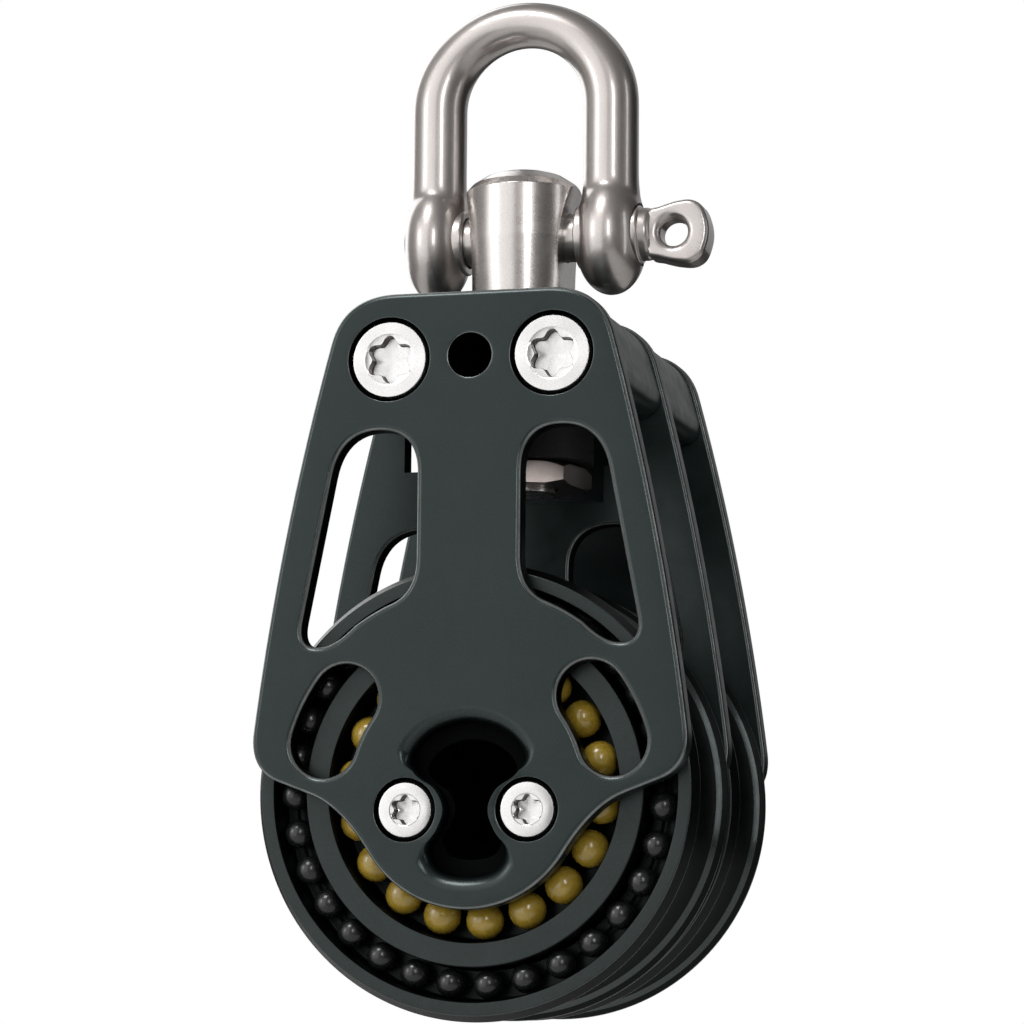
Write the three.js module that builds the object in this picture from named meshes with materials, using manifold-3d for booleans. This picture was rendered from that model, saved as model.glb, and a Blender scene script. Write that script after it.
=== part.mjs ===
// A double sheave block with a swivelling shackle head, as fitted to the running rigging of a
// sailing boat. Two ball-raced sheaves run between three flat plates. A post swivels in the head
// and carries a D shackle on a cross pin.
//
// Millimetres, +Z up. X runs across the block, Y along the sheave axles from the front cheek to
// the rear cheek. The parts are laid out about the sheave axis and the middle plane of the block,
// and the whole group is then lowered so that the origin is the inside of the shackle's crown,
// where the load bears.

import * as THREE from 'three';
import { mergeVertices } from 'three/addons/utils/BufferGeometryUtils.js';
import Module from 'manifold-3d';

const wasm = await Module();
wasm.setup();

// ---------------------------------------------------------------------------------------------
// Driving dimensions
// ---------------------------------------------------------------------------------------------

// Stack along the axle
const PLATE_THICKNESS = 4;
const PLATE_PITCH = 31.3;
const SIDE_GAP = 0.35;
const SEAT_GAP = 0.3;
const SPACE_WIDTH = PLATE_PITCH - PLATE_THICKNESS;
const SHEAVE_WIDTH = SPACE_WIDTH - 2 * SIDE_GAP;
const FILLER_WIDTH = SPACE_WIDTH - 2 * SEAT_GAP;

// Sheave and its two ball races, from the rim inwards
const SHEAVE_RADIUS = 37.5;
const SHEAVE_FACE_RADIUS = 36.4;
const RIM_CHAMFER = 2.2;
const GROOVE_HALF_WIDTH = 10.8;
const GROOVE_DEPTH = 5;
const SHEAVE_BORE = 34.2;
const RING_OUTER = 28.7;
const RING_BORE = 24.6;
const HUB_RADIUS = 17.6;
const OUTER_BALL = { radius: 2.4, count: 31, depth: 3, turned: 1.9 };
const INNER_BALL = { radius: 3.15, count: 18, depth: 3.7, turned: -3.6 };
const CAGE_SECTION = 1.1;

// Plates
const HEAD_TOP = 82.3;
const HEAD_BOTTOM = 65;
const WINDOW_FLOOR = 33.2;
const STRUT_HALF_WIDTH = 8.9;
const LOBE_RADIUS = 19.5;
const KIDNEY = { middle: 25.6, half: 5.6, start: 17.2, end: 35.8 };
const WINDOW_CORNER = 7.4;
const WINDOW_SLOPE = 0.195;
const CHEEK_WINDOW_TOP = 59.3;
const CENTRE_WINDOW_TOP = 46.8;

// The lashing hole narrows inside the hubs by this share, about a level near its middle.
const HUB_OPENING = 0.78;
const LASHING_MIDDLE = -1.5;

// Half widths of the centre plate's openings for the post, its nut and the washer above the nut
const POST_SLOT = 9.9;
const NUT_POCKET = 15;
const NUT_POCKET_FLOOR = 50.8;
const WASHER_SLOT = 20.8;

// Head blocks: half widths at the bottom, at the shoulder and across the top
const HEAD_BLOCK = { bottom: 25.8, shoulder: 23.6, shoulderHeight: 74.1, top: 12.8, corner: 4 };

// Fasteners: position of the right-hand one, head radius, shank radius, sleeve radius
const HEAD_SCREW = { x: 13.95, z: 71.2, head: 6.7, shank: 3, sleeve: 4.2, recess: 2.9 };
const HUB_SCREW = { x: 10.3, z: -3.35, head: 4.85, shank: 2, sleeve: 2.9, recess: 2.1 };
const LOCK_HOLE = { z: 71.4, radius: 3.65 };
const HEAD_THICKNESS = 2.6;
const HEAD_INSET = 0.35;
const DRIVE_DEPTH = 1.8;
const SLEEVE_LENGTH = 26;

// Swivel post, its nut and washers
const POST_TOP = 109.4;
const POST_RADIUS = 10.3;
const POST_FOOT_RADIUS = 9.1;
const POST_CREASE = 97;
const POST_SHOULDER = 84.5;
const POST_BEVEL = { start: 105.9, end: 107.2, radius: 9.2 };

// The sides of the post are milled hollow: half width at the narrowest, its height, and the
// radius of the cutter.
const POST_WAIST = { x: 7.75, z: 92.5, radius: 54.3 };
const JOURNAL_RADIUS = 6;
const JOURNAL_CLEARANCE = 0.1;
const NUT = { bottom: 53.4, top: 57.2, acrossFlats: 21 };
const LOWER_WASHER = { bottom: 57.6, top: 64.6, radius: 12.4 };
const UPPER_WASHER = { bottom: 82.1, top: 84.1, radius: 9.6 };

// Shackle
const PIN_HEIGHT = 97.7;
const CROWN_HEIGHT = 132.6;
const LEG_X = 15.65;
const LEG_RADIUS = 4.7;
const CROWN_RADIUS = 3.9;
const BEND_HEIGHT = 121.6;
const EAR = { x: 15.7, width: 6, depth: 8.2, height: 10.4 };
const EAR_BOSS = { radius: 5.7, face: 10.1 };
const SPOT_FACE = { radius: 5.5, x: 19.3 };
const PIN_RADIUS = 4.2;
const PIN_CLEARANCE = 0.1;
const PIN_COLLAR = { radius: 5.15, start: 19.4, end: 21.2 };
const PIN_NECK = { radius: 4.6, end: 23.3 };
const TAB = { x: 27.3, z: 97.4, thickness: 6, hole: 2.4 };

const TURN = 2 * Math.PI;
const RIGHT_ANGLE = Math.PI / 2;

// ---------------------------------------------------------------------------------------------
// Materials
// ---------------------------------------------------------------------------------------------

const material = (color, roughness, metalness) => (
  () => new THREE.MeshStandardMaterial({ color, roughness, metalness }));

const anodised = material(0x384040, 0.55, 0.6);
const racePlate = material(0x454b4a, 0.5, 0.6);
const stainless = material(0xa09890, 0.2, 1);
const blackPlastic = material(0x101112, 0.35, 0);
const goldPlastic = material(0xb8902f, 0.3, 0);
const greyPlastic = material(0x2b2e2e, 0.5, 0);

// ---------------------------------------------------------------------------------------------
// Solids
// ---------------------------------------------------------------------------------------------

// A closed three.js geometry as a solid that can be cut and joined.
function solid(geometry) {
  const bare = geometry.index ? geometry.toNonIndexed() : geometry.clone();
  bare.deleteAttribute('normal');
  bare.deleteAttribute('uv');
  const merged = mergeVertices(bare, 1e-4);
  return new wasm.Manifold(new wasm.Mesh({
    numProp: 3,
    vertProperties: new Float32Array(merged.attributes.position.array),
    triVerts: new Uint32Array(merged.index.array),
  }));
}

function geometryOf(body) {
  const cut = body.getMesh();
  const geometry = new THREE.BufferGeometry();
  geometry.setAttribute('position', new THREE.BufferAttribute(cut.vertProperties, 3));
  geometry.setIndex(new THREE.BufferAttribute(cut.triVerts, 1));
  geometry.computeVertexNormals();
  return geometry;
}

// A flat outline in X and Z, given a thickness along Y about the plane y = middle.
function slab(shape, thickness, middle = 0, segments = 6) {
  const geometry = new THREE.ExtrudeGeometry(shape, {
    depth: thickness,
    bevelEnabled: false,
    curveSegments: segments,
  });
  geometry.rotateX(RIGHT_ANGLE);
  geometry.translate(0, middle + thickness / 2, 0);
  return geometry;
}

// A profile of [radius, height] pairs turned about Y. A closed profile repeats its first point.
function turned(profile, segments) {
  return new THREE.LatheGeometry(profile.map(([r, h]) => new THREE.Vector2(r, h)), segments);
}

// A plain round bar along Y between two depths, at x and z.
function barY(radius, from, to, x = 0, z = 0, segments = 20) {
  const geometry = new THREE.CylinderGeometry(radius, radius, to - from, segments);
  geometry.translate(x, (from + to) / 2, z);
  return geometry;
}

function barX(radius, from, to, y = 0, z = 0, segments = 24) {
  const geometry = new THREE.CylinderGeometry(radius, radius, to - from, segments);
  geometry.rotateZ(RIGHT_ANGLE);
  geometry.translate((from + to) / 2, y, z);
  return geometry;
}

function barZ(radius, from, to, segments = 24) {
  const geometry = new THREE.CylinderGeometry(radius, radius, to - from, segments);
  geometry.rotateX(RIGHT_ANGLE);
  geometry.translate(0, 0, (from + to) / 2);
  return geometry;
}

function box(x0, x1, y0, y1, z0, z1) {
  const geometry = new THREE.BoxGeometry(x1 - x0, y1 - y0, z1 - z0);
  geometry.translate((x0 + x1) / 2, (y0 + y1) / 2, (z0 + z1) / 2);
  return geometry;
}

// Cuts each of the tool geometries out of a geometry.
function cut(geometry, ...tools) {
  let body = solid(geometry);
  for (const tool of tools) {
    body = body.subtract(solid(tool));
  }
  return geometryOf(body);
}

function joined(...pieces) {
  let body = solid(pieces[0]);
  for (const piece of pieces.slice(1)) {
    body = body.add(solid(piece));
  }
  return geometryOf(body);
}

const block = new THREE.Group();

function place(name, geometry, makeMaterial, parent = block) {
  const mesh = new THREE.Mesh(geometry, makeMaterial());
  mesh.name = name;
  parent.add(mesh);
  return mesh;
}

// ---------------------------------------------------------------------------------------------
// Outlines in X and Z, about the sheave axis
// ---------------------------------------------------------------------------------------------

// The outline shared by all three plates: a flat head, sides that widen downwards, and a round
// lobe about the axis. The right half is drawn upwards from the lobe and then mirrored.
function plateOutline() {
  const shape = new THREE.Shape();
  const lobeEnd = THREE.MathUtils.degToRad(-33);
  const lobeX = LOBE_RADIUS * Math.cos(lobeEnd);
  const lobeZ = LOBE_RADIUS * Math.sin(lobeEnd);
  shape.absarc(0, 0, LOBE_RADIUS, -Math.PI - lobeEnd, lobeEnd, false);
  shape.lineTo(lobeX, lobeZ);
  shape.quadraticCurveTo(21.2, -2.9, 26.5, -0.9);
  shape.lineTo(32.3, 1.3);
  shape.quadraticCurveTo(37.6, 3.4, 36.7, 10);
  shape.quadraticCurveTo(32.7, 42.8, 24.3, 74.1);
  shape.quadraticCurveTo(22.2, HEAD_TOP, 13, HEAD_TOP);
  shape.lineTo(-13, HEAD_TOP);
  shape.quadraticCurveTo(-22.2, HEAD_TOP, -24.3, 74.1);
  shape.quadraticCurveTo(-32.7, 42.8, -36.7, 10);
  shape.quadraticCurveTo(-37.6, 3.4, -32.3, 1.3);
  shape.lineTo(-26.5, -0.9);
  shape.quadraticCurveTo(-21.2, -2.9, -lobeX, lobeZ);
  return shape;
}

// A window beside the middle strut, over the sheave. side is 1 on the right and -1 on the left.
function windowPath(side, top) {
  const path = new THREE.Path();
  const outerX = (z) => 28.3 - WINDOW_SLOPE * (z - 28);
  const floorStart = THREE.MathUtils.degToRad(66);
  const floorEnd = THREE.MathUtils.degToRad(54);
  const corner = WINDOW_CORNER;
  const middle = (STRUT_HALF_WIDTH + outerX(top)) / 2;
  const x = (value) => side * value;
  path.moveTo(x(STRUT_HALF_WIDTH), 38);
  path.lineTo(x(STRUT_HALF_WIDTH), top - corner);
  path.quadraticCurveTo(x(STRUT_HALF_WIDTH), top, x(middle), top);
  path.quadraticCurveTo(x(outerX(top)), top, x(outerX(top - corner)), top - corner);
  path.lineTo(x(outerX(28)), 28);
  path.quadraticCurveTo(x(29.4), 22.8, x(24.6), 23.6);
  path.quadraticCurveTo(
    x(22.4), 24,
    x(WINDOW_FLOOR * Math.cos(floorEnd)), WINDOW_FLOOR * Math.sin(floorEnd),
  );
  path.lineTo(x(WINDOW_FLOOR * Math.cos(floorStart)), WINDOW_FLOOR * Math.sin(floorStart));
  path.quadraticCurveTo(x(STRUT_HALF_WIDTH), 32, x(STRUT_HALF_WIDTH), 38);
  return path;
}

// A curved slot about the axis with round ends, which shows the balls.
function kidneyPath(side) {
  const points = [];
  const start = THREE.MathUtils.degToRad(KIDNEY.start);
  const end = THREE.MathUtils.degToRad(KIDNEY.end);
  const steps = 6;
  const arc = (cx, cz, radius, from, to) => {
    for (let i = 0; i <= steps; i += 1) {
      const angle = from + (to - from) * (i / steps);
      const x = side * (cx + radius * Math.cos(angle));
      const z = cz + radius * Math.sin(angle);
      points.push(new THREE.Vector2(x, z));
    }
  };
  const cap = (angle) => [KIDNEY.middle * Math.cos(angle), KIDNEY.middle * Math.sin(angle)];
  arc(0, 0, KIDNEY.middle + KIDNEY.half, start, end);
  arc(...cap(end), KIDNEY.half, end + Math.PI / steps, end + Math.PI * (1 - 1 / steps));
  arc(0, 0, KIDNEY.middle - KIDNEY.half, end, start);
  arc(...cap(start), KIDNEY.half, start + Math.PI * (1 + 1 / steps), start + TURN - Math.PI / steps);
  points.push(points[0].clone());
  return new THREE.Path(points);
}

// The opening through the hub for a lashing: a wide lobe, a neck between the two hub screws and
// a smaller lobe below.
function lashingPath(size = 1) {
  const half = [
    [5.2, 9.8], [8.5, 7.2], [9.6, 4.6], [8.2, 2.3], [5, 0], [3.6, -3.35],
    [4.6, -6.6], [6.4, -9.6], [5, -12.8],
  ];
  const points = [
    [0, 11], ...half, [0, -14], ...half.map(([x, z]) => [-x, z]).reverse(),
  ].map(([x, z]) => (
    new THREE.Vector3(x * size, LASHING_MIDDLE + (z - LASHING_MIDDLE) * size, 0)));
  const curve = new THREE.CatmullRomCurve3(points, true, 'centripetal');
  return new THREE.Path(curve.getPoints(32).slice(0, -1).map((p) => new THREE.Vector2(p.x, p.y)));
}

function circlePath(x, z, radius) {
  return new THREE.Path().absarc(x, z, radius, 0, TURN, false);
}

function sideHoles(spec, radius) {
  return [-1, 1].map((side) => circlePath(side * spec.x, spec.z, radius));
}

// ---------------------------------------------------------------------------------------------
// Plates, head blocks and hubs
// ---------------------------------------------------------------------------------------------

// Only the front cheek has windows beside its strut.
function cheek(side) {
  const shape = plateOutline();
  if (side < 0) {
    shape.holes.push(windowPath(-1, CHEEK_WINDOW_TOP), windowPath(1, CHEEK_WINDOW_TOP));
  }
  shape.holes.push(
    kidneyPath(-1),
    kidneyPath(1),
    lashingPath(),
    circlePath(0, LOCK_HOLE.z, LOCK_HOLE.radius),
    ...sideHoles(HEAD_SCREW, HEAD_SCREW.sleeve + SEAT_GAP),
    ...sideHoles(HUB_SCREW, HUB_SCREW.sleeve + SEAT_GAP),
  );
  const middle = side * PLATE_PITCH;
  const outer = middle + side * PLATE_THICKNESS / 2;
  const seat = outer - side * (HEAD_THICKNESS + HEAD_INSET + SEAT_GAP);
  const pockets = [];
  for (const spec of [HEAD_SCREW, HUB_SCREW]) {
    for (const across of [-1, 1]) {
      const [from, to] = [seat, outer + side].sort((a, b) => a - b);
      pockets.push(barY(spec.head + SEAT_GAP, from, to, across * spec.x, spec.z, 20));
    }
  }
  return cut(slab(shape, PLATE_THICKNESS, middle), ...pockets);
}

// The centre plate is slotted for the post, and opened below the head for its nut and washer.
function centrePlate() {
  const shape = plateOutline();
  shape.holes.push(
    windowPath(-1, CENTRE_WINDOW_TOP),
    windowPath(1, CENTRE_WINDOW_TOP),
    kidneyPath(-1),
    kidneyPath(1),
    lashingPath(),
    ...sideHoles(HEAD_SCREW, HEAD_SCREW.shank + SEAT_GAP),
    ...sideHoles(HUB_SCREW, HUB_SCREW.shank + SEAT_GAP),
  );
  const opening = (halfWidth, bottom, top) => (
    box(-halfWidth, halfWidth, -PLATE_THICKNESS, PLATE_THICKNESS, bottom, top));
  return cut(
    slab(shape, PLATE_THICKNESS),
    opening(POST_SLOT, HEAD_BOTTOM - 1, HEAD_TOP + 1),
    opening(NUT_POCKET, NUT_POCKET_FLOOR, HEAD_BOTTOM),
    opening(WASHER_SLOT, LOWER_WASHER.bottom - 0.6, LOWER_WASHER.top - 1),
  );
}

// The head blocks fill the two sheave spaces above the ropes and meet round the post.
function headBlock(side) {
  const crest = HEAD_TOP - 0.6;
  const { bottom, shoulder, shoulderHeight, top, corner } = HEAD_BLOCK;
  const shape = new THREE.Shape();
  shape.moveTo(-bottom + corner, HEAD_BOTTOM);
  shape.lineTo(bottom - corner, HEAD_BOTTOM);
  shape.quadraticCurveTo(bottom, HEAD_BOTTOM, bottom - 0.7, HEAD_BOTTOM + corner);
  shape.lineTo(shoulder, shoulderHeight);
  shape.quadraticCurveTo(shoulder - 2, crest, top, crest);
  shape.lineTo(-top, crest);
  shape.quadraticCurveTo(-shoulder + 2, crest, -shoulder, shoulderHeight);
  shape.lineTo(-bottom + 0.7, HEAD_BOTTOM + corner);
  shape.quadraticCurveTo(-bottom, HEAD_BOTTOM, -bottom + corner, HEAD_BOTTOM);
  const hole = side < 0 ? HEAD_SCREW.shank : HEAD_SCREW.sleeve;
  shape.holes.push(...sideHoles(HEAD_SCREW, hole + SEAT_GAP));
  const middle = side * PLATE_PITCH / 2;
  const tools = [barZ(JOURNAL_RADIUS + JOURNAL_CLEARANCE, HEAD_BOTTOM - 1, HEAD_TOP + 1)];
  if (side < 0) {
    tools.push(barY(LOCK_HOLE.radius - 1, -PLATE_PITCH, -1, 0, LOCK_HOLE.z));
  }
  return cut(slab(shape, FILLER_WIDTH, middle), ...tools);
}

function hub(side) {
  const shape = new THREE.Shape();
  shape.absarc(0, 0, HUB_RADIUS, 0, TURN, false);
  const hole = side < 0 ? HUB_SCREW.shank : HUB_SCREW.sleeve;
  shape.holes.push(lashingPath(HUB_OPENING), ...sideHoles(HUB_SCREW, hole + SEAT_GAP));
  return slab(shape, FILLER_WIDTH, side * PLATE_PITCH / 2, 18);
}

place('front_cheek', cheek(-1), anodised);
place('centre_plate', centrePlate(), anodised);
place('rear_cheek', cheek(1), anodised);
place('head_block_front', headBlock(-1), anodised);
place('head_block_rear', headBlock(1), anodised);
place('hub_front', hub(-1), anodised);
place('hub_rear', hub(1), anodised);

// ---------------------------------------------------------------------------------------------
// Fasteners
// ---------------------------------------------------------------------------------------------

// A six-lobed drive recess as a star-shaped bar along Y.
function driveRecess(radius, from, to, x, z) {
  const shape = new THREE.Shape();
  const points = 12;
  for (let i = 0; i < points; i += 1) {
    const angle = (i / points) * TURN;
    const reach = radius * (0.87 + 0.13 * Math.cos(6 * angle));
    const [px, pz] = [reach * Math.cos(angle), reach * Math.sin(angle)];
    if (i === 0) {
      shape.moveTo(px, pz);
    } else {
      shape.lineTo(px, pz);
    }
  }
  const geometry = slab(shape, to - from, (from + to) / 2);
  geometry.translate(x, 0, z);
  return geometry;
}

// A screw that enters from the front, and the sleeve nut that meets it from the rear. Both have
// the same flat head with a six-lobed recess, set just below the face of the cheek.
function screwAndNut(spec, side) {
  const x = side * spec.x;
  const face = PLATE_PITCH + PLATE_THICKNESS / 2 - HEAD_INSET;
  const under = face - HEAD_THICKNESS;
  const tip = face - SLEEVE_LENGTH + 18;
  const screw = cut(
    joined(
      barY(spec.head, -face, -under, x, spec.z),
      barY(spec.shank, -under - 0.5, tip, x, spec.z, 12),
    ),
    driveRecess(spec.recess, -face - 1, -face + DRIVE_DEPTH, x, spec.z),
  );
  const nut = cut(
    joined(
      barY(spec.head, under, face, x, spec.z),
      barY(spec.sleeve, face - SLEEVE_LENGTH, under + 0.5, x, spec.z, 12),
    ),
    barY(spec.shank + 0.15, face - SLEEVE_LENGTH - 1, tip + 1, x, spec.z, 12),
    driveRecess(spec.recess, face - DRIVE_DEPTH, face + 1, x, spec.z),
  );
  return [screw, nut];
}

for (const [label, spec] of [['head', HEAD_SCREW], ['hub', HUB_SCREW]]) {
  for (const [word, side] of [['left', -1], ['right', 1]]) {
    const [screw, nut] = screwAndNut(spec, side);
    place(`${label}_screw_${word}`, screw, stainless);
    place(`${label}_nut_${word}`, nut, stainless);
  }
}

// ---------------------------------------------------------------------------------------------
// Sheaves, race rings and ball sets
// ---------------------------------------------------------------------------------------------

// The sheave is a grooved rim with an inner web between its two rows of balls.
function sheaveProfile() {
  const half = SHEAVE_WIDTH / 2;
  const web = half - OUTER_BALL.depth - OUTER_BALL.radius - 0.6;
  const sagitta = GROOVE_DEPTH;
  const grooveRadius = (GROOVE_HALF_WIDTH ** 2 + sagitta ** 2) / (2 * sagitta);
  const grooveCentre = SHEAVE_RADIUS - sagitta + grooveRadius;
  const sweep = Math.asin(GROOVE_HALF_WIDTH / grooveRadius);
  const groove = [];
  const steps = 4;
  for (let i = 0; i <= steps; i += 1) {
    const angle = sweep * ((2 * i) / steps - 1);
    groove.push([grooveCentre - grooveRadius * Math.cos(angle), grooveRadius * Math.sin(angle)]);
  }
  return [
    [SHEAVE_BORE, -half],
    [SHEAVE_FACE_RADIUS, -half],
    [SHEAVE_RADIUS, -half + RIM_CHAMFER],
    ...groove,
    [SHEAVE_RADIUS, half - RIM_CHAMFER],
    [SHEAVE_FACE_RADIUS, half],
    [SHEAVE_BORE, half],
    [SHEAVE_BORE, web],
    [RING_OUTER + 0.4, web],
    [RING_OUTER + 0.4, -web],
    [SHEAVE_BORE, -web],
    [SHEAVE_BORE, -half],
  ];
}

// The race ring carries the inner row of balls in its bore and the outer row on its rim.
function ringProfile() {
  const half = SHEAVE_WIDTH / 2;
  const web = half - INNER_BALL.depth - INNER_BALL.radius - 0.6;
  return [
    [RING_BORE, -half],
    [RING_OUTER, -half],
    [RING_OUTER, half],
    [RING_BORE, half],
    [RING_BORE, web],
    [HUB_RADIUS + 0.4, web],
    [HUB_RADIUS + 0.4, -web],
    [RING_BORE, -web],
    [RING_BORE, -half],
  ];
}

// One row of balls held at even spacing by a slim cage ring, as a single body: a torus whose
// section swells to the ball at every second station and narrows to the cage between them.
function ballRow(ball, middle) {
  const section = new THREE.Shape().absarc(middle, 0, ball.radius, 0, TURN, false).getPoints(3);
  const row = new THREE.LatheGeometry(section, 2 * ball.count);
  const position = row.attributes.position;
  const narrow = CAGE_SECTION / 2 / ball.radius;
  const stations = 2 * ball.count + 1;
  for (let i = 0; i < position.count; i += 1) {
    const station = Math.floor(i / section.length) % stations;
    if (station % 2 === 1) {
      const angle = (station / (2 * ball.count)) * TURN;
      const axisX = middle * Math.sin(angle);
      const axisZ = middle * Math.cos(angle);
      position.setXYZ(
        i,
        axisX + (position.getX(i) - axisX) * narrow,
        position.getY(i) * narrow,
        axisZ + (position.getZ(i) - axisZ) * narrow,
      );
    }
  }
  return geometryOf(solid(row));
}

const outerBallCircle = (SHEAVE_BORE + RING_OUTER) / 2;
const innerBallCircle = (RING_BORE + HUB_RADIUS) / 2;

for (const [label, side] of [['front', -1], ['rear', 1]]) {
  const station = new THREE.Group();
  station.position.y = side * PLATE_PITCH / 2;
  block.add(station);
  place(`sheave_${label}`, turned(sheaveProfile(), 40), racePlate, station);
  place(`race_ring_${label}`, turned(ringProfile(), 36), racePlate, station);
  for (const [row, outward] of [['outboard', side], ['inboard', -side]]) {
    const outerBalls = place(
      `outer_balls_${label}_${row}`,
      ballRow(OUTER_BALL, outerBallCircle),
      blackPlastic,
      station,
    );
    outerBalls.position.y = outward * (SHEAVE_WIDTH / 2 - OUTER_BALL.depth);
    outerBalls.rotation.y = THREE.MathUtils.degToRad(OUTER_BALL.turned);
    const innerBalls = place(
      `inner_balls_${label}_${row}`,
      ballRow(INNER_BALL, innerBallCircle),
      goldPlastic,
      station,
    );
    innerBalls.position.y = outward * (SHEAVE_WIDTH / 2 - INNER_BALL.depth);
    innerBalls.rotation.y = THREE.MathUtils.degToRad(INNER_BALL.turned);
  }
}

// ---------------------------------------------------------------------------------------------
// Swivel post, nut and washers
// ---------------------------------------------------------------------------------------------

function swivelPost() {
  const body = turned([
    [0, NUT.bottom - 1],
    [JOURNAL_RADIUS, NUT.bottom - 1],
    [JOURNAL_RADIUS, POST_SHOULDER],
    [POST_FOOT_RADIUS, POST_SHOULDER],
    [POST_RADIUS, POST_CREASE],
    [POST_RADIUS, POST_BEVEL.start],
    [POST_BEVEL.radius, POST_BEVEL.end],
    [0.75 * POST_BEVEL.radius, POST_TOP - 0.7],
    [0.5 * POST_BEVEL.radius, POST_TOP],
    [0, POST_TOP],
  ], 40);
  body.rotateX(RIGHT_ANGLE);
  const past = 1.5 * POST_RADIUS;
  const centre = POST_WAIST.x + POST_WAIST.radius;
  return cut(
    body,
    barY(POST_WAIST.radius, -past, past, centre, POST_WAIST.z, 96),
    barY(POST_WAIST.radius, -past, past, -centre, POST_WAIST.z, 96),
    barX(PIN_RADIUS + PIN_CLEARANCE, -past, past, 0, PIN_HEIGHT),
  );
}

function washer(spec) {
  return cut(
    barZ(spec.radius, spec.bottom, spec.top),
    barZ(JOURNAL_RADIUS + SEAT_GAP, spec.bottom - 1, spec.top + 1),
  );
}

// The nut is hexagonal with its corners turned off at the bottom.
function postNut() {
  const corner = NUT.acrossFlats / Math.sqrt(3);
  const hexagon = new THREE.CylinderGeometry(corner, corner, NUT.top - NUT.bottom, 6);
  hexagon.rotateX(RIGHT_ANGLE);
  hexagon.rotateZ(THREE.MathUtils.degToRad(-9));
  hexagon.translate(0, 0, (NUT.top + NUT.bottom) / 2);
  const cone = new THREE.CylinderGeometry(corner + 6, corner - 2.4, NUT.top - NUT.bottom, 24);
  cone.rotateX(RIGHT_ANGLE);
  cone.translate(0, 0, (NUT.top + NUT.bottom) / 2);
  const body = solid(hexagon)
    .intersect(solid(cone))
    .subtract(solid(barZ(JOURNAL_RADIUS + SEAT_GAP, NUT.bottom - 1, NUT.top + 1)));
  return geometryOf(body);
}

place('swivel_post', swivelPost(), stainless);
place('post_nut', postNut(), stainless);
place('thrust_washer_lower', washer(LOWER_WASHER), greyPlastic);
place('thrust_washer_upper', washer(UPPER_WASHER), greyPlastic);

// ---------------------------------------------------------------------------------------------
// Shackle
// ---------------------------------------------------------------------------------------------

// A bar swept through stations in the plane y = 0, each with a middle, an outward direction and
// a half thickness in that plane. Its half thickness along Y is that of the legs throughout.
function sweptBar(stations) {
  const round = 18;
  const vertices = [];
  const faces = [];
  for (const { x, z, outX, outZ, half } of stations) {
    for (let k = 0; k < round; k += 1) {
      const angle = (k / round) * TURN;
      const out = half * Math.cos(angle);
      vertices.push(x + outX * out, LEG_RADIUS * Math.sin(angle), z + outZ * out);
    }
  }
  for (let i = 0; i < stations.length - 1; i += 1) {
    for (let k = 0; k < round; k += 1) {
      const [a, b] = [i * round + k, i * round + ((k + 1) % round)];
      faces.push(a, b, b + round, a, b + round, a + round);
    }
  }
  const last = (stations.length - 1) * round;
  for (let k = 1; k < round - 1; k += 1) {
    faces.push(0, k + 1, k, last, last + k, last + k + 1);
  }
  const geometry = new THREE.BufferGeometry();
  geometry.setAttribute('position', new THREE.Float32BufferAttribute(vertices, 3));
  geometry.setIndex(faces);
  return geometry;
}

// The bow: up one leg, over a crown that is thinner than the legs, and down the other leg.
function bowStations() {
  const rise = CROWN_HEIGHT + CROWN_RADIUS - BEND_HEIGHT;
  const steps = 24;
  const stations = [{ x: LEG_X, z: PIN_HEIGHT, outX: 1, outZ: 0, half: LEG_RADIUS }];
  for (let i = 0; i <= steps; i += 1) {
    const angle = Math.PI * (i / steps);
    const out = new THREE.Vector2(Math.cos(angle) / LEG_X, Math.sin(angle) / rise).normalize();
    stations.push({
      x: LEG_X * Math.cos(angle),
      z: BEND_HEIGHT + rise * Math.sin(angle),
      outX: out.x,
      outZ: out.y,
      half: LEG_RADIUS + (CROWN_RADIUS - LEG_RADIUS) * Math.sin(angle) ** 2,
    });
  }
  stations.push({ x: -LEG_X, z: PIN_HEIGHT, outX: -1, outZ: 0, half: LEG_RADIUS });
  return stations;
}

// The ears are rounded, with a flat boss towards the post. The right-hand one is spot-faced for
// the pin's collar.
function shackleBow() {
  const wide = EAR.x + EAR.width + 1;
  const tall = EAR.height + 1;
  let body = solid(sweptBar(bowStations()));
  for (const side of [-1, 1]) {
    const ear = new THREE.SphereGeometry(1, 24, 14);
    ear.rotateZ(RIGHT_ANGLE);
    ear.scale(EAR.width, EAR.depth, EAR.height);
    ear.translate(side * EAR.x, 0, PIN_HEIGHT);
    const [from, to] = [side * EAR_BOSS.face, side * EAR.x].sort((a, b) => a - b);
    body = body.add(solid(ear)).add(solid(barX(EAR_BOSS.radius, from, to, 0, PIN_HEIGHT)));
  }
  const between = box(
    -EAR_BOSS.face, EAR_BOSS.face, -tall, tall, PIN_HEIGHT - tall, PIN_HEIGHT + tall);
  return geometryOf(body
    .subtract(solid(between))
    .subtract(solid(barX(PIN_RADIUS + SEAT_GAP, -wide, wide, 0, PIN_HEIGHT)))
    .subtract(solid(barX(SPOT_FACE.radius, SPOT_FACE.x, wide, 0, PIN_HEIGHT))));
}

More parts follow.
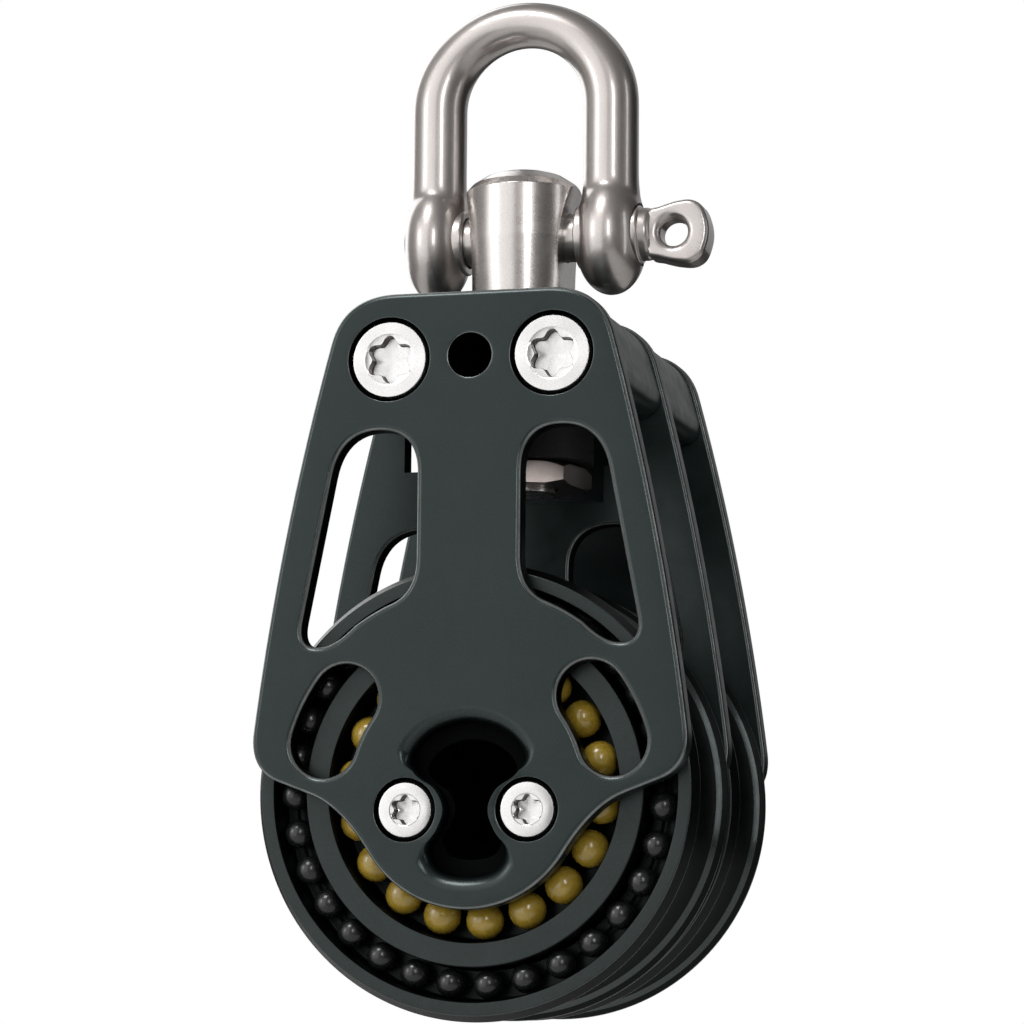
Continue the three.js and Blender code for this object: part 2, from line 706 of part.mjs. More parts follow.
// The pin is turned with a collar, and its head is milled to a flat tab with a hole for wire. The
// tab is narrow at the neck and widens outwards to a bulging end.
function shacklePin() {
  const upper = [
    [-4.5, 3.9], [-2.5, 4.6], [0.5, 5.4], [3.2, 5.5], [4.9, 4.5], [5.9, 2.3], [6.25, 0],
  ];
  const lower = upper.slice(0, -1).map(([x, z]) => [x, -z]).reverse();
  const points = [...upper, ...lower].map(([x, z]) => new THREE.Vector3(TAB.x + x, TAB.z + z, 0));
  const curve = new THREE.CatmullRomCurve3(points, true, 'centripetal');
  const tab = new THREE.Shape(curve.getPoints(39).slice(0, -1).map((p) => (
    new THREE.Vector2(p.x, p.y))));
  tab.holes.push(circlePath(TAB.x, TAB.z, TAB.hole));
  return joined(
    barX(PIN_RADIUS, -EAR.x - EAR.width, PIN_COLLAR.start + 0.5, 0, PIN_HEIGHT),
    barX(PIN_COLLAR.radius, PIN_COLLAR.start, PIN_COLLAR.end, 0, PIN_HEIGHT),
    barX(PIN_NECK.radius, PIN_COLLAR.end - 0.5, PIN_NECK.end, 0, PIN_HEIGHT),
    slab(tab, TAB.thickness, 0, 6),
  );
}

place('shackle_bow', shackleBow(), stainless);
place('shackle_pin', shacklePin(), stainless);

// The origin of the finished part is the inside of the shackle's crown.
const group = new THREE.Group();
block.position.z = -CROWN_HEIGHT;
group.add(block);

export default group;
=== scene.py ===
"""Looks for a double sheave block with a swivelling shackle head.

Pieces are laid out in millimetres about the sheave axis, as the CAD part is, and are lowered onto
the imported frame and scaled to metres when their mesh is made. X runs across the block, Y from the
front cheek to the rear cheek and Z up to the shackle.
"""

import math

import bmesh
import bpy
from mathutils import Matrix, Vector, geometry


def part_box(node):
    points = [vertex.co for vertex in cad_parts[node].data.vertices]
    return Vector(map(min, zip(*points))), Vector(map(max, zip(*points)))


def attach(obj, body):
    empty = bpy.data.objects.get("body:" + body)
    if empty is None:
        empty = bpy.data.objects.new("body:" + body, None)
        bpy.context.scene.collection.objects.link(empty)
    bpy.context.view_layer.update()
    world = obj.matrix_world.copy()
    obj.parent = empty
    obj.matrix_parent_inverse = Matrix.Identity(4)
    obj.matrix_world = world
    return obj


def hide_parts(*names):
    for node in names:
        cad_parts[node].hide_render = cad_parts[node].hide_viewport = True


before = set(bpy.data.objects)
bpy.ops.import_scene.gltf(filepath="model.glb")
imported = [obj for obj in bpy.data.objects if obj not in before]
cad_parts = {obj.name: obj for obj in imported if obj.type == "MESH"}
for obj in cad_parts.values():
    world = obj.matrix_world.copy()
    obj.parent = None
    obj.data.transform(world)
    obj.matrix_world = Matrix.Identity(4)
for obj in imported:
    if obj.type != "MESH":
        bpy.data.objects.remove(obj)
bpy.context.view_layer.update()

MM = 0.001
TURN = 2 * math.pi


def middle(node):
    """The middle of a CAD node's box, in millimetres in the row frame."""
    low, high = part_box(node)
    return (low + high) / 2 / MM


def depth_of(node):
    """Where a CAD node starts and ends along Y, in millimetres."""
    low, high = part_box(node)
    return low.y / MM, high.y / MM


AXIS_Z = middle("sheave_front").z
SHEAVE_Y = {"front": middle("sheave_front").y, "rear": middle("sheave_rear").y}


def bottom_of(node):
    """The bottom of a CAD node, in millimetres about the sheave axis."""
    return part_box(node)[0].z / MM - AXIS_Z


def top_of(node):
    """The top of a CAD node, in millimetres about the sheave axis."""
    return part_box(node)[1].z / MM - AXIS_Z


# ---- Driving dimensions, in millimetres about the sheave axis ----

# The plates' edges are rounded more on the two outward faces of the block.
OUTWARD_ROUND = 1.0
PLATE_ROUND = 0.7
HEAD_TOP = 82.3
STRUT_HALF_WIDTH = 8.9
LOBE_RADIUS = 19.5
FLANK_LOW = (36.7, 10)
FLANK_HIGH = (24.3, 74.1)
KIDNEY = {"middle": 25.6, "half": 5.6, "start": 17.2, "end": 35.8}
WINDOW_FLOOR = 33.2
WINDOW_CORNER = 7.4
WINDOW_SIDE = {"x": 28.3, "z": 28, "slope": 0.195}
WINDOW_TOE = (24.6, 23.6)
CHEEK_WINDOW_TOP = 59.3
CENTRE_WINDOW_TOP = 46.8

# The lashing hole, as points down its right half between its highest and its lowest point.
LASHING_TOP = 11.0
LASHING_BOTTOM = -14.0
LASHING_HALF = [
    (5.2, 9.8), (8.5, 7.2), (9.6, 4.6), (8.2, 2.3), (5.0, 0), (3.6, -3.35),
    (4.6, -6.6), (6.4, -9.6), (5.0, -12.8),
]
LASHING_ROUND = 2.6
LASHING_MIDDLE = -1.5
HUB_OPENING = 0.78

# The centre plate's openings for the post, its nut and the washer above the nut.
CENTRE_OPENINGS = [
    {"half": 9.9, "bottom": 64.0, "top": HEAD_TOP + 1},
    {"half": 15.0, "bottom": 50.8, "top": 65.0},
    {"half": 20.8, "bottom": 57.0, "top": 63.6},
]
HEAD_BLOCK = {"bottom": 65.0, "top": HEAD_TOP - 0.6, "round": 0.4}
HUB_ROUND = {"outside": 0.4, "lashing": 0.3}

HEAD_SCREW = {"x": 13.95, "z": 71.2, "head": 6.7, "shank": 3.0, "sleeve": 4.2, "drive": 4.1}
HUB_SCREW = {"x": 10.3, "z": -3.35, "head": 4.85, "shank": 2.0, "sleeve": 2.9, "drive": 2.5}
STEM = {"front": "shank", "rear": "sleeve"}
HEAD_THICKNESS = 2.6
HOLE_GAP = 0.3
HOLE_ROUND = 0.2
HEAD_GAP = 0.35
SEAT_DEPTH = 3.25
SEAT_ROUND = 0.25
LOCK_HOLE = {"z": 71.4, "radius": 3.65, "inside": 4.05, "outward": 0.5, "inward": 0.3}

SHEAVE_HALF_WIDTH = 13.3
SHEAVE_RADIUS = 37.5
SHEAVE_FACE_RADIUS = 36.4
RIM_CHAMFER = 2.2
GROOVE_HALF_WIDTH = 10.8
GROOVE_DEPTH = 5.0
SHEAVE_BORE = 34.2
RING_OUTER = 28.7
RING_BORE = 24.6
HUB_RADIUS = 17.6
RUNNING_GAP = 0.4
BALL_GAP = 0.6
CAGE_BAR = 0.3
OUTER_BALL = {"radius": 2.4, "count": 31, "depth": 3.0, "turned": 1.9, "cage": 1.2}
INNER_BALL = {"radius": 3.15, "count": 18, "depth": 3.7, "turned": -3.6, "cage": 1.6}

POST = {"top": 109.4, "radius": 10.3, "crease": 97.0, "shoulder": 84.5, "foot": 9.1, "journal": 6.0}
POST_WAIST = {"x": 7.75, "z": 92.5, "radius": 54.3}
POST_RIM = 105.9
POST_DOME = [(9.2, 107.2, 0.5), (6.9, 108.7, 1.5), (4.6, POST["top"], 1.6)]
NUT = {"across_flats": 21.0, "turned": 81, "face": 1.3}
PIN = {"z": 97.7, "radius": 4.2, "clearance": 0.1, "collar": 5.15, "neck": 4.6}
PIN_COLLAR_X = (19.4, 21.2)
PIN_NECK_X = (21.3, 23.3)
BOW = {"x": 15.65, "bend": 121.6, "rise": 14.9, "leg": 4.85, "crown": 3.95}
BOW_SWELL = {"most": 1.5, "reach": 11, "power": 1.6}
EAR = {"x": 15.7, "width": {-1: 5.6, 1: 6.0}, "depth": 8.2, "height": 10.4, "seat": 5.5}
EAR_SEAT_X = EAR["x"] + 3.6
EAR_BOSS = {"radius": 5.7, "face": 10.1, "round": 0.35}
FORGED_SKIN = {"voxel": 0.33, "passes": 34}
TAB = {"half_thickness": 3.0, "hole_x": 27.3, "hole_z": 97.4, "hole": 2.4}
TAB_ROUND = {"outside": 0.9, "hole": 1.4}
TAB_HALF = [
    (-4.5, 3.9), (-2.5, 4.6), (0.5, 5.4), (3.2, 5.5), (4.9, 4.5), (5.9, 2.3), (6.25, 0),
]

LATHE_STEPS = 160
SMALL_LATHE_STEPS = 96
MERGE_DISTANCE = 0.002


# ---- Outlines in X and Z ----

def arc(centre, radius, start, end, steps):
    """Points on an arc, angles in degrees."""
    angles = [math.radians(start + (end - start) * k / steps) for k in range(steps + 1)]
    return [(centre[0] + radius * math.cos(a), centre[1] + radius * math.sin(a)) for a in angles]


def bend(start, control, end, steps=12):
    """Points on a curve from start to end that leaves and arrives along the lines to control."""
    points = []
    for k in range(steps + 1):
        t = k / steps
        points.append(tuple(
            (1 - t) ** 2 * a + 2 * t * (1 - t) * c + t * t * b
            for a, c, b in zip(start, control, end)
        ))
    return points


def twice_area(loop):
    """Twice a loop's area, positive when it runs anticlockwise."""
    pairs = zip(loop, loop[1:] + loop[:1])
    return sum(a[0] * b[1] - b[0] * a[1] for a, b in pairs)


def tidy_loop(points):
    """A closed anticlockwise loop without neighbours in the same place."""
    kept = []
    for point in points:
        if not kept or math.dist(point, kept[-1]) > 1e-4:
            kept.append(point)
    if math.dist(kept[0], kept[-1]) <= 1e-4:
        kept.pop()
    return kept if twice_area(kept) > 0 else kept[::-1]


def mirrored(points):
    """A loop from its right half, which runs from one end of the mirror line to the other."""
    return points + [(-x, z) for x, z in reversed(points)]


def between(a, b, start, end, at):
    """The value at a place between a, which is at start, and b, which is at end."""
    return (a * (end - at) + b * (at - start)) / (end - start)


def spline(points, steps=8):
    """A closed smooth curve through points, a centripetal Catmull-Rom spline."""
    count = len(points)
    curve = []
    for i in range(count):
        p = [Vector(points[(i + k) % count]) for k in (-1, 0, 1, 2)]
        t = [0.0]
        for a, b in zip(p, p[1:]):
            t.append(t[-1] + math.sqrt((b - a).length))
        for k in range(steps):
            at = t[1] + (t[2] - t[1]) * k / steps
            near = [between(p[j], p[j + 1], t[j], t[j + 1], at) for j in range(3)]
            far = [between(near[j], near[j + 1], t[j], t[j + 2], at) for j in range(2)]
            curve.append(tuple(between(*far, t[1], t[2], at)))
    return curve


def circle(x, z, radius, steps=64):
    """Points round a circle, without its start repeated at its end."""
    return arc((x, z), radius, 0, 360 * (steps - 1) / steps, steps - 1)


def plate_outline():
    """A flat head, sides that widen downwards and a round lobe about the axis."""
    right = arc((0, 0), LOBE_RADIUS, -90, -33, 24)
    right += bend(right[-1], (21.2, -2.9), (26.5, -0.9))
    right += bend((32.3, 1.3), (37.6, 3.4), FLANK_LOW)
    right += bend(FLANK_LOW, (32.7, 42.8), FLANK_HIGH, 20)
    right += bend(FLANK_HIGH, (22.2, HEAD_TOP), (13, HEAD_TOP), 16)
    return mirrored(right)


def window(side, top):
    """A window beside the middle strut, over the sheave."""
    corner = WINDOW_CORNER
    inner = STRUT_HALF_WIDTH

    def outer(z):
        return WINDOW_SIDE["x"] - WINDOW_SIDE["slope"] * (z - WINDOW_SIDE["z"])

    middle_top = ((inner + outer(top)) / 2, top)
    loop = bend((inner, top - corner), (inner, top), middle_top)
    loop += bend(middle_top, (outer(top), top), (outer(top - corner), top - corner))
    loop += bend((WINDOW_SIDE["x"], WINDOW_SIDE["z"]), (29.4, 22.8), WINDOW_TOE)
    floor = arc((0, 0), WINDOW_FLOOR, 54, 66, 10)
    loop += bend(WINDOW_TOE, (22.4, 24), floor[0]) + floor
    loop += bend(floor[-1], (inner, 32), (inner, 38))
    return [(side * x, z) for x, z in loop]


def kidney(side):
    """A curved slot about the axis with round ends."""
    start, end, half = KIDNEY["start"], KIDNEY["end"], KIDNEY["half"]

    def end_middle(angle):
        turn = math.radians(angle)
        return KIDNEY["middle"] * math.cos(turn), KIDNEY["middle"] * math.sin(turn)

    loop = arc((0, 0), KIDNEY["middle"] + half, start, end, 14)
    loop += arc(end_middle(end), half, end, end + 180, 18)
    loop += arc((0, 0), KIDNEY["middle"] - half, end, start, 10)
    loop += arc(end_middle(start), half, start + 180, start + 360, 18)
    return [(side * x, z) for x, z in loop]


def lashing(size=1.0):
    """The opening through the hub: a wide lobe, a neck between two screws and a smaller lobe."""
    left = [(-x, z) for x, z in reversed(LASHING_HALF)]
    points = [(0, LASHING_TOP), *LASHING_HALF, (0, LASHING_BOTTOM), *left]
    return spline([(x * size, LASHING_MIDDLE + (z - LASHING_MIDDLE) * size) for x, z in points])


def head_block_outline():
    """A bar across the head with round shoulders, just inside the plates' outline."""
    bottom, top = HEAD_BLOCK["bottom"], HEAD_BLOCK["top"]
    right = bend((21.3, bottom), (25.6, bottom), (25.0, bottom + 4.2), 12)
    right += bend((23.6, 74.1), (21.6, top), (12.8, top), 16)
    return mirrored(right)


# ---- Mesh tools ----

def moved_in(loop, inset, hole, share=lambda point: 1):
    """The loop moved by inset into the material: inwards on an outline, outwards on a hole.

    share gives the part of the inset that is used at a point. A corner's point moves by no more
    than the inset divided by blunt.
    """
    blunt = 0.6
    loop = tidy_loop(loop)
    count = len(loop)
    side = -1 if hole else 1
    result = []
    for i, point in enumerate(loop):
        here = Vector(point)
        before = (here - Vector(loop[i - 1])).normalized()
        after = (Vector(loop[(i + 1) % count]) - here).normalized()
        along = (before + after).normalized()
        across = Vector((-along.y, along.x)) * side
        result.append(here + across * inset * share(point) / max(blunt, along.dot(after)))
    return result


def wall(y0, y1, front, rear, steps=4):
    """Rings down the wall of a loop whose two edges are rounded by front and rear.

    A ring is (inset, y, wear_and_glint, turn). wear_and_glint is 1 in the middle of a rounded
    edge, where the edge is rubbed through and a highlight is painted. Turn is 0 on a face and 1 on
    the wall; on a hole it also sets the painted shade that blackens the wall.
    """
    edges = [(front, y0, 1, 1 - k / steps) for k in range(steps + 1)]
    edges += [(rear, y1, -1, k / steps) for k in range(steps + 1)]
    rings = []
    for radius, face, inward, share in edges:
        turn = math.pi / 2 * share
        inset, drop = radius * (1 - math.cos(turn)), radius * (1 - math.sin(turn))
        rings.append((inset, face + inward * drop, math.sin(2 * turn), 1 - turn * 2 / math.pi))
    return rings


def bridge(bm, lower, upper):
    """Faces between two rings of the same length, or between a ring and a single vertex."""
    count = max(len(lower), len(upper))
    for i in range(count):
        j = (i + 1) % count
        corners = [
            lower[i % len(lower)], lower[j % len(lower)],
            upper[j % len(upper)], upper[i % len(upper)],
        ]
        bm.faces.new(dict.fromkeys(corners))


def cap(bm, rings):
    """A flat face inside the first ring and outside the others, which are holes."""
    flat, verts, faces = [], [], []
    for ring in rings:
        faces.append(list(range(len(verts), len(verts) + len(ring))))
        verts += ring
        flat += [Vector((v.co.x, v.co.z)) for v in ring]
    inside_rings, weld = 1, 1e-6
    result = geometry.delaunay_2d_cdt(flat, [], faces, inside_rings, weld)
    _, _, triangles, sources, _, owners = result
    for triangle, owner in zip(triangles, owners):
        if list(owner) == [0]:
            bm.faces.new([verts[sources[i][0]] for i in triangle])


def slab(loops):
    """A flat part from (loop, is_hole, rings, share), with rings from the front to the rear."""
    bm = bmesh.new()
    worn_and_glint = bm.verts.layers.float.new("wear_and_glint")
    inside = bm.verts.layers.float.new("inside")
    fronts, rears = [], []
    for loop, hole, rings, *share in loops:
        made = []
        for inset, y, wear_and_glint, turn in rings:
            ring = [bm.verts.new((p.x, y, p.y)) for p in moved_in(loop, inset, hole, *share)]
            for vert in ring:
                vert[worn_and_glint] = wear_and_glint
                # On a hole, inside is painted shade: it blackens the wall in the anodised looks.
                vert[inside] = turn if hole else 0
            made.append(ring)
        for lower, upper in zip(made, made[1:]):
            bridge(bm, lower, upper)
        fronts.append(made[0])
        rears.append(made[-1])
    cap(bm, fronts)
    cap(bm, rears)
    return bm


def rounded(points, closed=True, steps=3):
    """A profile of (radius, height) pairs. A third value at a point is its corner's radius."""
    profile = []
    for i, (r, h, *corner) in enumerate(points):
        if not corner or (not closed and i in (0, len(points) - 1)):
            profile.append((r, h))
            continue
        here = Vector((r, h))
        before = (Vector(points[i - 1][:2]) - here).normalized()
        after = (Vector(points[(i + 1) % len(points)][:2]) - here).normalized()
        half = before.angle(after) / 2
        centre = here + (before + after).normalized() * corner[0] / math.sin(half)
        start = here + before * corner[0] / math.tan(half) - centre
        end = here + after * corner[0] / math.tan(half) - centre
        for k in range(steps + 1):
            mix = start * (1 - k / steps) + end * k / steps
            profile.append(tuple(centre + mix.normalized() * corner[0]))
    return profile


def lathe(profile, axis="Y", segments=LATHE_STEPS, centre=(0, 0, 0)):
    """A profile of (radius, height) pairs turned about an axis through centre.

    It closes on itself unless it starts and ends on the axis. A radius may be a function of the
    angle round the axis.
    """
    bm = bmesh.new()
    rings = []
    for radius, height in profile:
        ring = []
        for k in range(1 if radius == 0 else segments):
            turn = TURN * k / segments
            reach = radius(turn) if callable(radius) else radius
            u, v = reach * math.cos(turn), reach * math.sin(turn)
            spot = {"X": (height, u, v), "Y": (u, height, v), "Z": (u, v, height)}[axis]
            ring.append(bm.verts.new(Vector(spot) + Vector(centre)))
        rings.append(ring)
    for lower, upper in zip(rings, rings[1:]):
        bridge(bm, lower, upper)
    if len(rings[0]) > 1:
        bridge(bm, rings[-1], rings[0])
    return bm


def rod(axis, radius, start, end, centre=(0, 0, 0), segments=64, edge=0.0):
    """A round bar between two heights along an axis. edge rounds the edges of its ends."""
    corner = [edge] if edge else []
    profile = [(0, start), (radius, start, *corner), (radius, end, *corner), (0, end)]
    return lathe(rounded(profile, closed=False), axis, segments, centre)


def block(low, high):
    """A plain box between two corners, for cutting."""
    bm = bmesh.new()
    size = Vector(high) - Vector(low)
    matrix = Matrix.Translation((Vector(low) + Vector(high)) / 2) @ Matrix.Diagonal((*size, 1))
    bmesh.ops.create_cube(bm, size=1, matrix=matrix)
    return bm


def linked(name, data):
    """A new object in the scene."""
    obj = bpy.data.objects.new(name, data)
    bpy.context.scene.collection.objects.link(obj)
    return obj


def meshed(name, bm):
    """An object made from a bmesh, which is used up."""
    mesh = bpy.data.meshes.new(name)
    bm.to_mesh(mesh)
    bm.free()
    return linked(name, mesh)


def temporary(bm):
    """An object for modifiers to work on, made from a bmesh, which is used up."""
    bmesh.ops.recalc_face_normals(bm, faces=bm.faces)
    return meshed("part", bm)


def discard(obj):
    """Removes an object and its mesh."""
    mesh = obj.data
    bpy.data.objects.remove(obj)
    bpy.data.meshes.remove(mesh)


def applied(obj):
    """A bmesh of an object with its modifiers applied. The object is removed."""
    bpy.context.view_layer.update()
    shown = obj.evaluated_get(bpy.context.evaluated_depsgraph_get())
    bm = bmesh.new()
    bm.from_mesh(shown.data)
    discard(obj)
    return bm


def combined(first, operation, *others):
    """first with each of the others joined to it, cut out of it or intersected with it."""
    for other in others:
        body, tool = temporary(first), temporary(other)
        modifier = body.modifiers.new("combine", "BOOLEAN")
        modifier.operation = operation
        modifier.object = tool
        modifier.solver = "EXACT"
        first = applied(body)
        discard(tool)
    return first


def softened(bm, voxel, passes):
    """One skin round everything in the mesh, with its inner corners smoothed like a forging's."""
    obj = temporary(bm)
    remesh = obj.modifiers.new("skin", "REMESH")
    remesh.mode = "VOXEL"
    remesh.voxel_size = voxel
    smooth = obj.modifiers.new("smooth", "SMOOTH")
    smooth.factor = 0.5
    smooth.iterations = passes
    return applied(obj)


def break_edges(bm, width, angle):
    """A small round on every edge that turns by more than angle, in degrees."""
    bmesh.ops.remove_doubles(bm, verts=bm.verts, dist=MERGE_DISTANCE)
    limit = math.radians(angle)
    edges = [e for e in bm.edges if len(e.link_faces) == 2 and e.calc_face_angle(0) > limit]
    bmesh.ops.bevel(
        bm, geom=edges, offset=width, offset_type="OFFSET", segments=2,
        profile=0.5, affect="EDGES", clamp_overlap=True,
    )
    return bm


def piece(name, bm, body, materials, nodes, sharp=30, choose=None):
    """Makes a finished piece: scaled and lowered onto the frame, shaded, painted and riding.

    Edges that turn by more than sharp degrees stay sharp. choose gives a face's material.
    """
    bmesh.ops.recalc_face_normals(bm, faces=bm.faces)
    limit = math.radians(sharp)
    for face in bm.faces:
        face.smooth = True
        if choose:
            face.material_index = choose(face)
    for edge in bm.edges:
        edge.smooth = len(edge.link_faces) == 2 and edge.calc_face_angle(0) < limit
    bmesh.ops.translate(bm, verts=bm.verts, vec=(0, 0, AXIS_Z))
    bmesh.ops.scale(bm, verts=bm.verts, vec=(MM, MM, MM))
    obj = meshed(name, bm)
    for material in materials:
        obj.data.materials.append(material)
    normals = obj.modifiers.new("normals", "WEIGHTED_NORMAL")
    normals.keep_sharp = True
    normals.weight = 80
    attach(obj, body)
    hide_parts(*nodes)


# ---- Materials ----

def new_node(tree, kind, given=None, **settings):
    """A new shader node. given holds a value or another node's result for each socket."""
    node = tree.nodes.new(f"ShaderNode{kind}")
    for name, value in settings.items():
        setattr(node, name, value)
    for socket, value in (given or {}).items():
        if isinstance(value, bpy.types.NodeSocket):
            tree.links.new(value, node.inputs[socket])
        else:
            node.inputs[socket].default_value = value
    return node


class Look:
    """A procedural material round one Principled shader.

    Its noises lie in the block's own space, and their sizes are in millimetres.
    """

    def __init__(self, name, **values):
        self.material = bpy.data.materials.new(name)
        self.material.use_nodes = True
        self.tree = self.material.node_tree
        self.shader = self.tree.nodes["Principled BSDF"]
        self.place = new_node(self.tree, "TexCoord").outputs["Object"]
        self.relief = None
        for socket, value in values.items():
            self.shader.inputs[socket.replace("_", " ")].default_value = value

    def math(self, operation, *values):
        """The result of one operation on numbers or other results."""
        given = dict(enumerate(values))
        return new_node(self.tree, "Math", given, operation=operation).outputs[0]

    def noise(self, size, detail=3.0):
        """Noise with features of about size millimetres."""
        given = {"Scale": 1 / (size * MM), "Detail": detail, "Vector": self.place}
        return new_node(self.tree, "TexNoise", given).outputs["Fac"]

    def rings(self, axis, size):
        """Noise in rings about the axis of the sheaves, Y, or of the post, Z."""
        x, y, z = new_node(self.tree, "SeparateXYZ", {0: self.place}).outputs
        if axis == "Y":
            across, along = (x, self.math("SUBTRACT", z, AXIS_Z * MM)), y
        else:
            across, along = (x, y), z
        squares = [self.math("MULTIPLY", part, part) for part in across]
        radius = self.math("SQRT", self.math("ADD", *squares))
        given = {"Scale": 1 / (size * MM), "W": self.math("ADD", radius, along)}
        return new_node(self.tree, "TexNoise", given, noise_dimensions="1D").outputs["Fac"]

    def ranged(self, value, low, high, start=0.3, end=0.7):
        """low where value is start, high where it is end, and in between or level elsewhere."""
        given = {"Value": value, "From Min": start, "From Max": end, "To Min": low, "To Max": high}
        return new_node(self.tree, "MapRange", given).outputs["Result"]

    def attribute(self, name):
        """A number that the mesh carries at each point."""
        return new_node(self.tree, "Attribute", attribute_name=name).outputs["Fac"]

    def tint(self, factor, first, second):
        """A colour between two, which may be colours or the result of another tint."""
        ends = [(*end, 1) if isinstance(end, tuple) else end for end in (first, second)]
        given = {"Factor": factor, 6: ends[0], 7: ends[1]}
        return new_node(self.tree, "Mix", given, data_type="RGBA").outputs[2]

    def to(self, value, socket):
        """Leads a result into one of the shader's sockets."""
        self.tree.links.new(value, self.shader.inputs[socket])

    def bump(self, height, strength, depth):
        """Adds relief of up to depth millimetres."""
        given = {"Strength": strength, "Distance": depth * MM, "Height": height}
        if self.relief is not None:
            given["Normal"] = self.relief
        self.relief = new_node(self.tree, "Bump", given).outputs["Normal"]
        self.to(self.relief, "Normal")


def scaled(colour, factor):
    """A colour made darker or lighter."""
    return tuple(channel * factor for channel in colour)


BARE_METAL_AND_GLINT = (0.36, 0.38, 0.375)
# IN_SHADOW is painted shade: the near-black that the walls of holes are darkened to.
IN_SHADOW = (0.0012, 0.0015, 0.0015)
DYE_TINT = (0.86, 1.0, 0.985, 1)


def anodised(name, dark, light, roughness, shine, turned=False):
    """Hard anodised aluminium: fine blasted grain, slight blotches and thin metal edges.

    The walls of holes are painted black as shade, since little light reaches them. Rounded edges
    are glossier, and along their middle they are rubbed through to the metal, which is also a
    painted highlight.
    """
    look = Look(name, IOR=1.5, Specular_Tint=DYE_TINT)
    blotch = look.tint(look.ranged(look.noise(14), 0, 1), dark, light)
    speckle = look.ranged(look.noise(0.35, 2.0), 0, 0.5, 0.45, 0.75)
    grain = look.tint(speckle, blotch, scaled(light, 1.8))
    # Painted shade: the walls of holes fade to IN_SHADOW.
    inside = look.ranged(look.attribute("inside"), 0, 1, 0.3, 0.85)
    black = look.tint(inside, grain, IN_SHADOW)
    # Painted highlight as well as rubbing: a lighter metal band along the middle of rounded edges.
    worn_and_glint = look.ranged(look.attribute("wear_and_glint"), 0, 1, 0.74, 0.98)
    bare_and_glint = look.math("MULTIPLY", worn_and_glint, look.ranged(look.noise(2.5), 0.45, 0.9))
    look.to(look.tint(bare_and_glint, black, BARE_METAL_AND_GLINT), "Base Color")
    look.to(bare_and_glint, "Metallic")
    polish = look.math("MULTIPLY", look.attribute("wear_and_glint"), look.ranged(inside, 1, 0, 0, 1))
    level = look.ranged(inside, shine, shine * 0.12, 0, 1)
    level = look.math("ADD", level, look.math("MULTIPLY", polish, 0.45))
    look.to(level, "Specular IOR Level")
    rough = look.ranged(look.noise(3.0), roughness - 0.04, roughness + 0.05)
    rough = look.math("SUBTRACT", rough, look.math("MULTIPLY", polish, 0.14))
    look.to(rough, "Roughness")
    look.bump(look.noise(0.16, 2.0), 0.35, 0.02)
    if turned:
        look.bump(look.rings("Y", 0.22), 0.35, 0.03)
    return look.material


def stainless(name, roughness, colour, turned=False, grain=0.12, brushed=0.0, gloss=0.0):
    """Stainless steel with polishing haze, fine pits and a slight grain.

    brushed stretches its reflections round the Y axis, and gloss adds a sharper shine.
    """
    look = Look(name, Metallic=1.0, Anisotropic=brushed, Coat_Weight=gloss, Coat_Roughness=0.1,
                Coat_IOR=1.9)
    if brushed:
        around = new_node(look.tree, "Tangent", direction_type="RADIAL", axis="Y")
        look.to(around.outputs["Tangent"], "Tangent")
    haze = look.ranged(look.noise(5.0, 4.0), 0, 1)
    tone = look.tint(haze, scaled(colour, 0.95), colour)
    pits = look.ranged(look.noise(0.3, 3.0), 0, 0.35, 0.4, 0.75)
    look.to(look.tint(pits, tone, scaled(colour, 0.68)), "Base Color")
    look.to(look.ranged(look.noise(2.2, 4.0), roughness - 0.02, roughness + 0.03), "Roughness")
    look.bump(look.noise(0.4, 3.0), grain, 0.01)
    if turned:
        look.bump(look.rings("Z", 0.3), 0.15, 0.012)
    return look.material


def ball_plastic(name, dark, light, roughness, coat):
    """Moulded plastic with faint swirls and handling marks."""
    look = Look(name, IOR=1.5, Coat_Weight=coat, Coat_Roughness=0.12)
    look.to(look.tint(look.ranged(look.noise(1.6, 4.0), 0, 1), dark, light), "Base Color")
    look.to(look.ranged(look.noise(0.8), roughness - 0.06, roughness + 0.08), "Roughness")
    look.bump(look.noise(0.3, 2.0), 0.12, 0.015)
    return look.material


PLATE = anodised("hard_anodised_plate", (0.004, 0.0085, 0.008), (0.007, 0.012, 0.0115), 0.34, 0.4)
# SHADOWED is painted shadow: near-black for the hubs, the ball cages and the lock hole's wall.
SHADOWED = anodised("painted_shadow_black", (0.001, 0.001, 0.001), (0.0015, 0.0015, 0.0015), 0.8, 0.05)
RACE_FACE = anodised("turned_race_face", (0.005, 0.0075, 0.007), (0.011, 0.014, 0.0135), 0.36,
                     0.42, turned=True)
# Painted shade: the groove, bores and webs of sheaves and rings are near-black.
GROOVE_PAINTED_SHADE = anodised("turned_groove_painted_shade", (0.001, 0.0013, 0.0013), (0.002, 0.0023, 0.0023), 0.3, 0.16,
                  turned=True)
# The rim's thin edges are lighter and glossier: wear, and a painted highlight along them.
RIM_EDGE_AND_GLINT = anodised("worn_rim_edge_and_glint", (0.01, 0.013, 0.013), (0.02, 0.024, 0.024), 0.2, 0.9)
STEEL = stainless("polished_stainless", 0.36, (0.53, 0.49, 0.47), gloss=0.9)
POST_STEEL = stainless("turned_stainless", 0.27, (0.60, 0.565, 0.545), grain=0.015, gloss=0.4)
SCREW_STEEL = stainless("screw_stainless", 0.27, (0.74, 0.735, 0.73), brushed=0.7)
# Painted shade: the drive recesses' walls get a much darker steel.
DRIVE_STEEL_PAINTED_SHADE = stainless("drive_stainless_painted_shade", 0.35, (0.15, 0.125, 0.115))
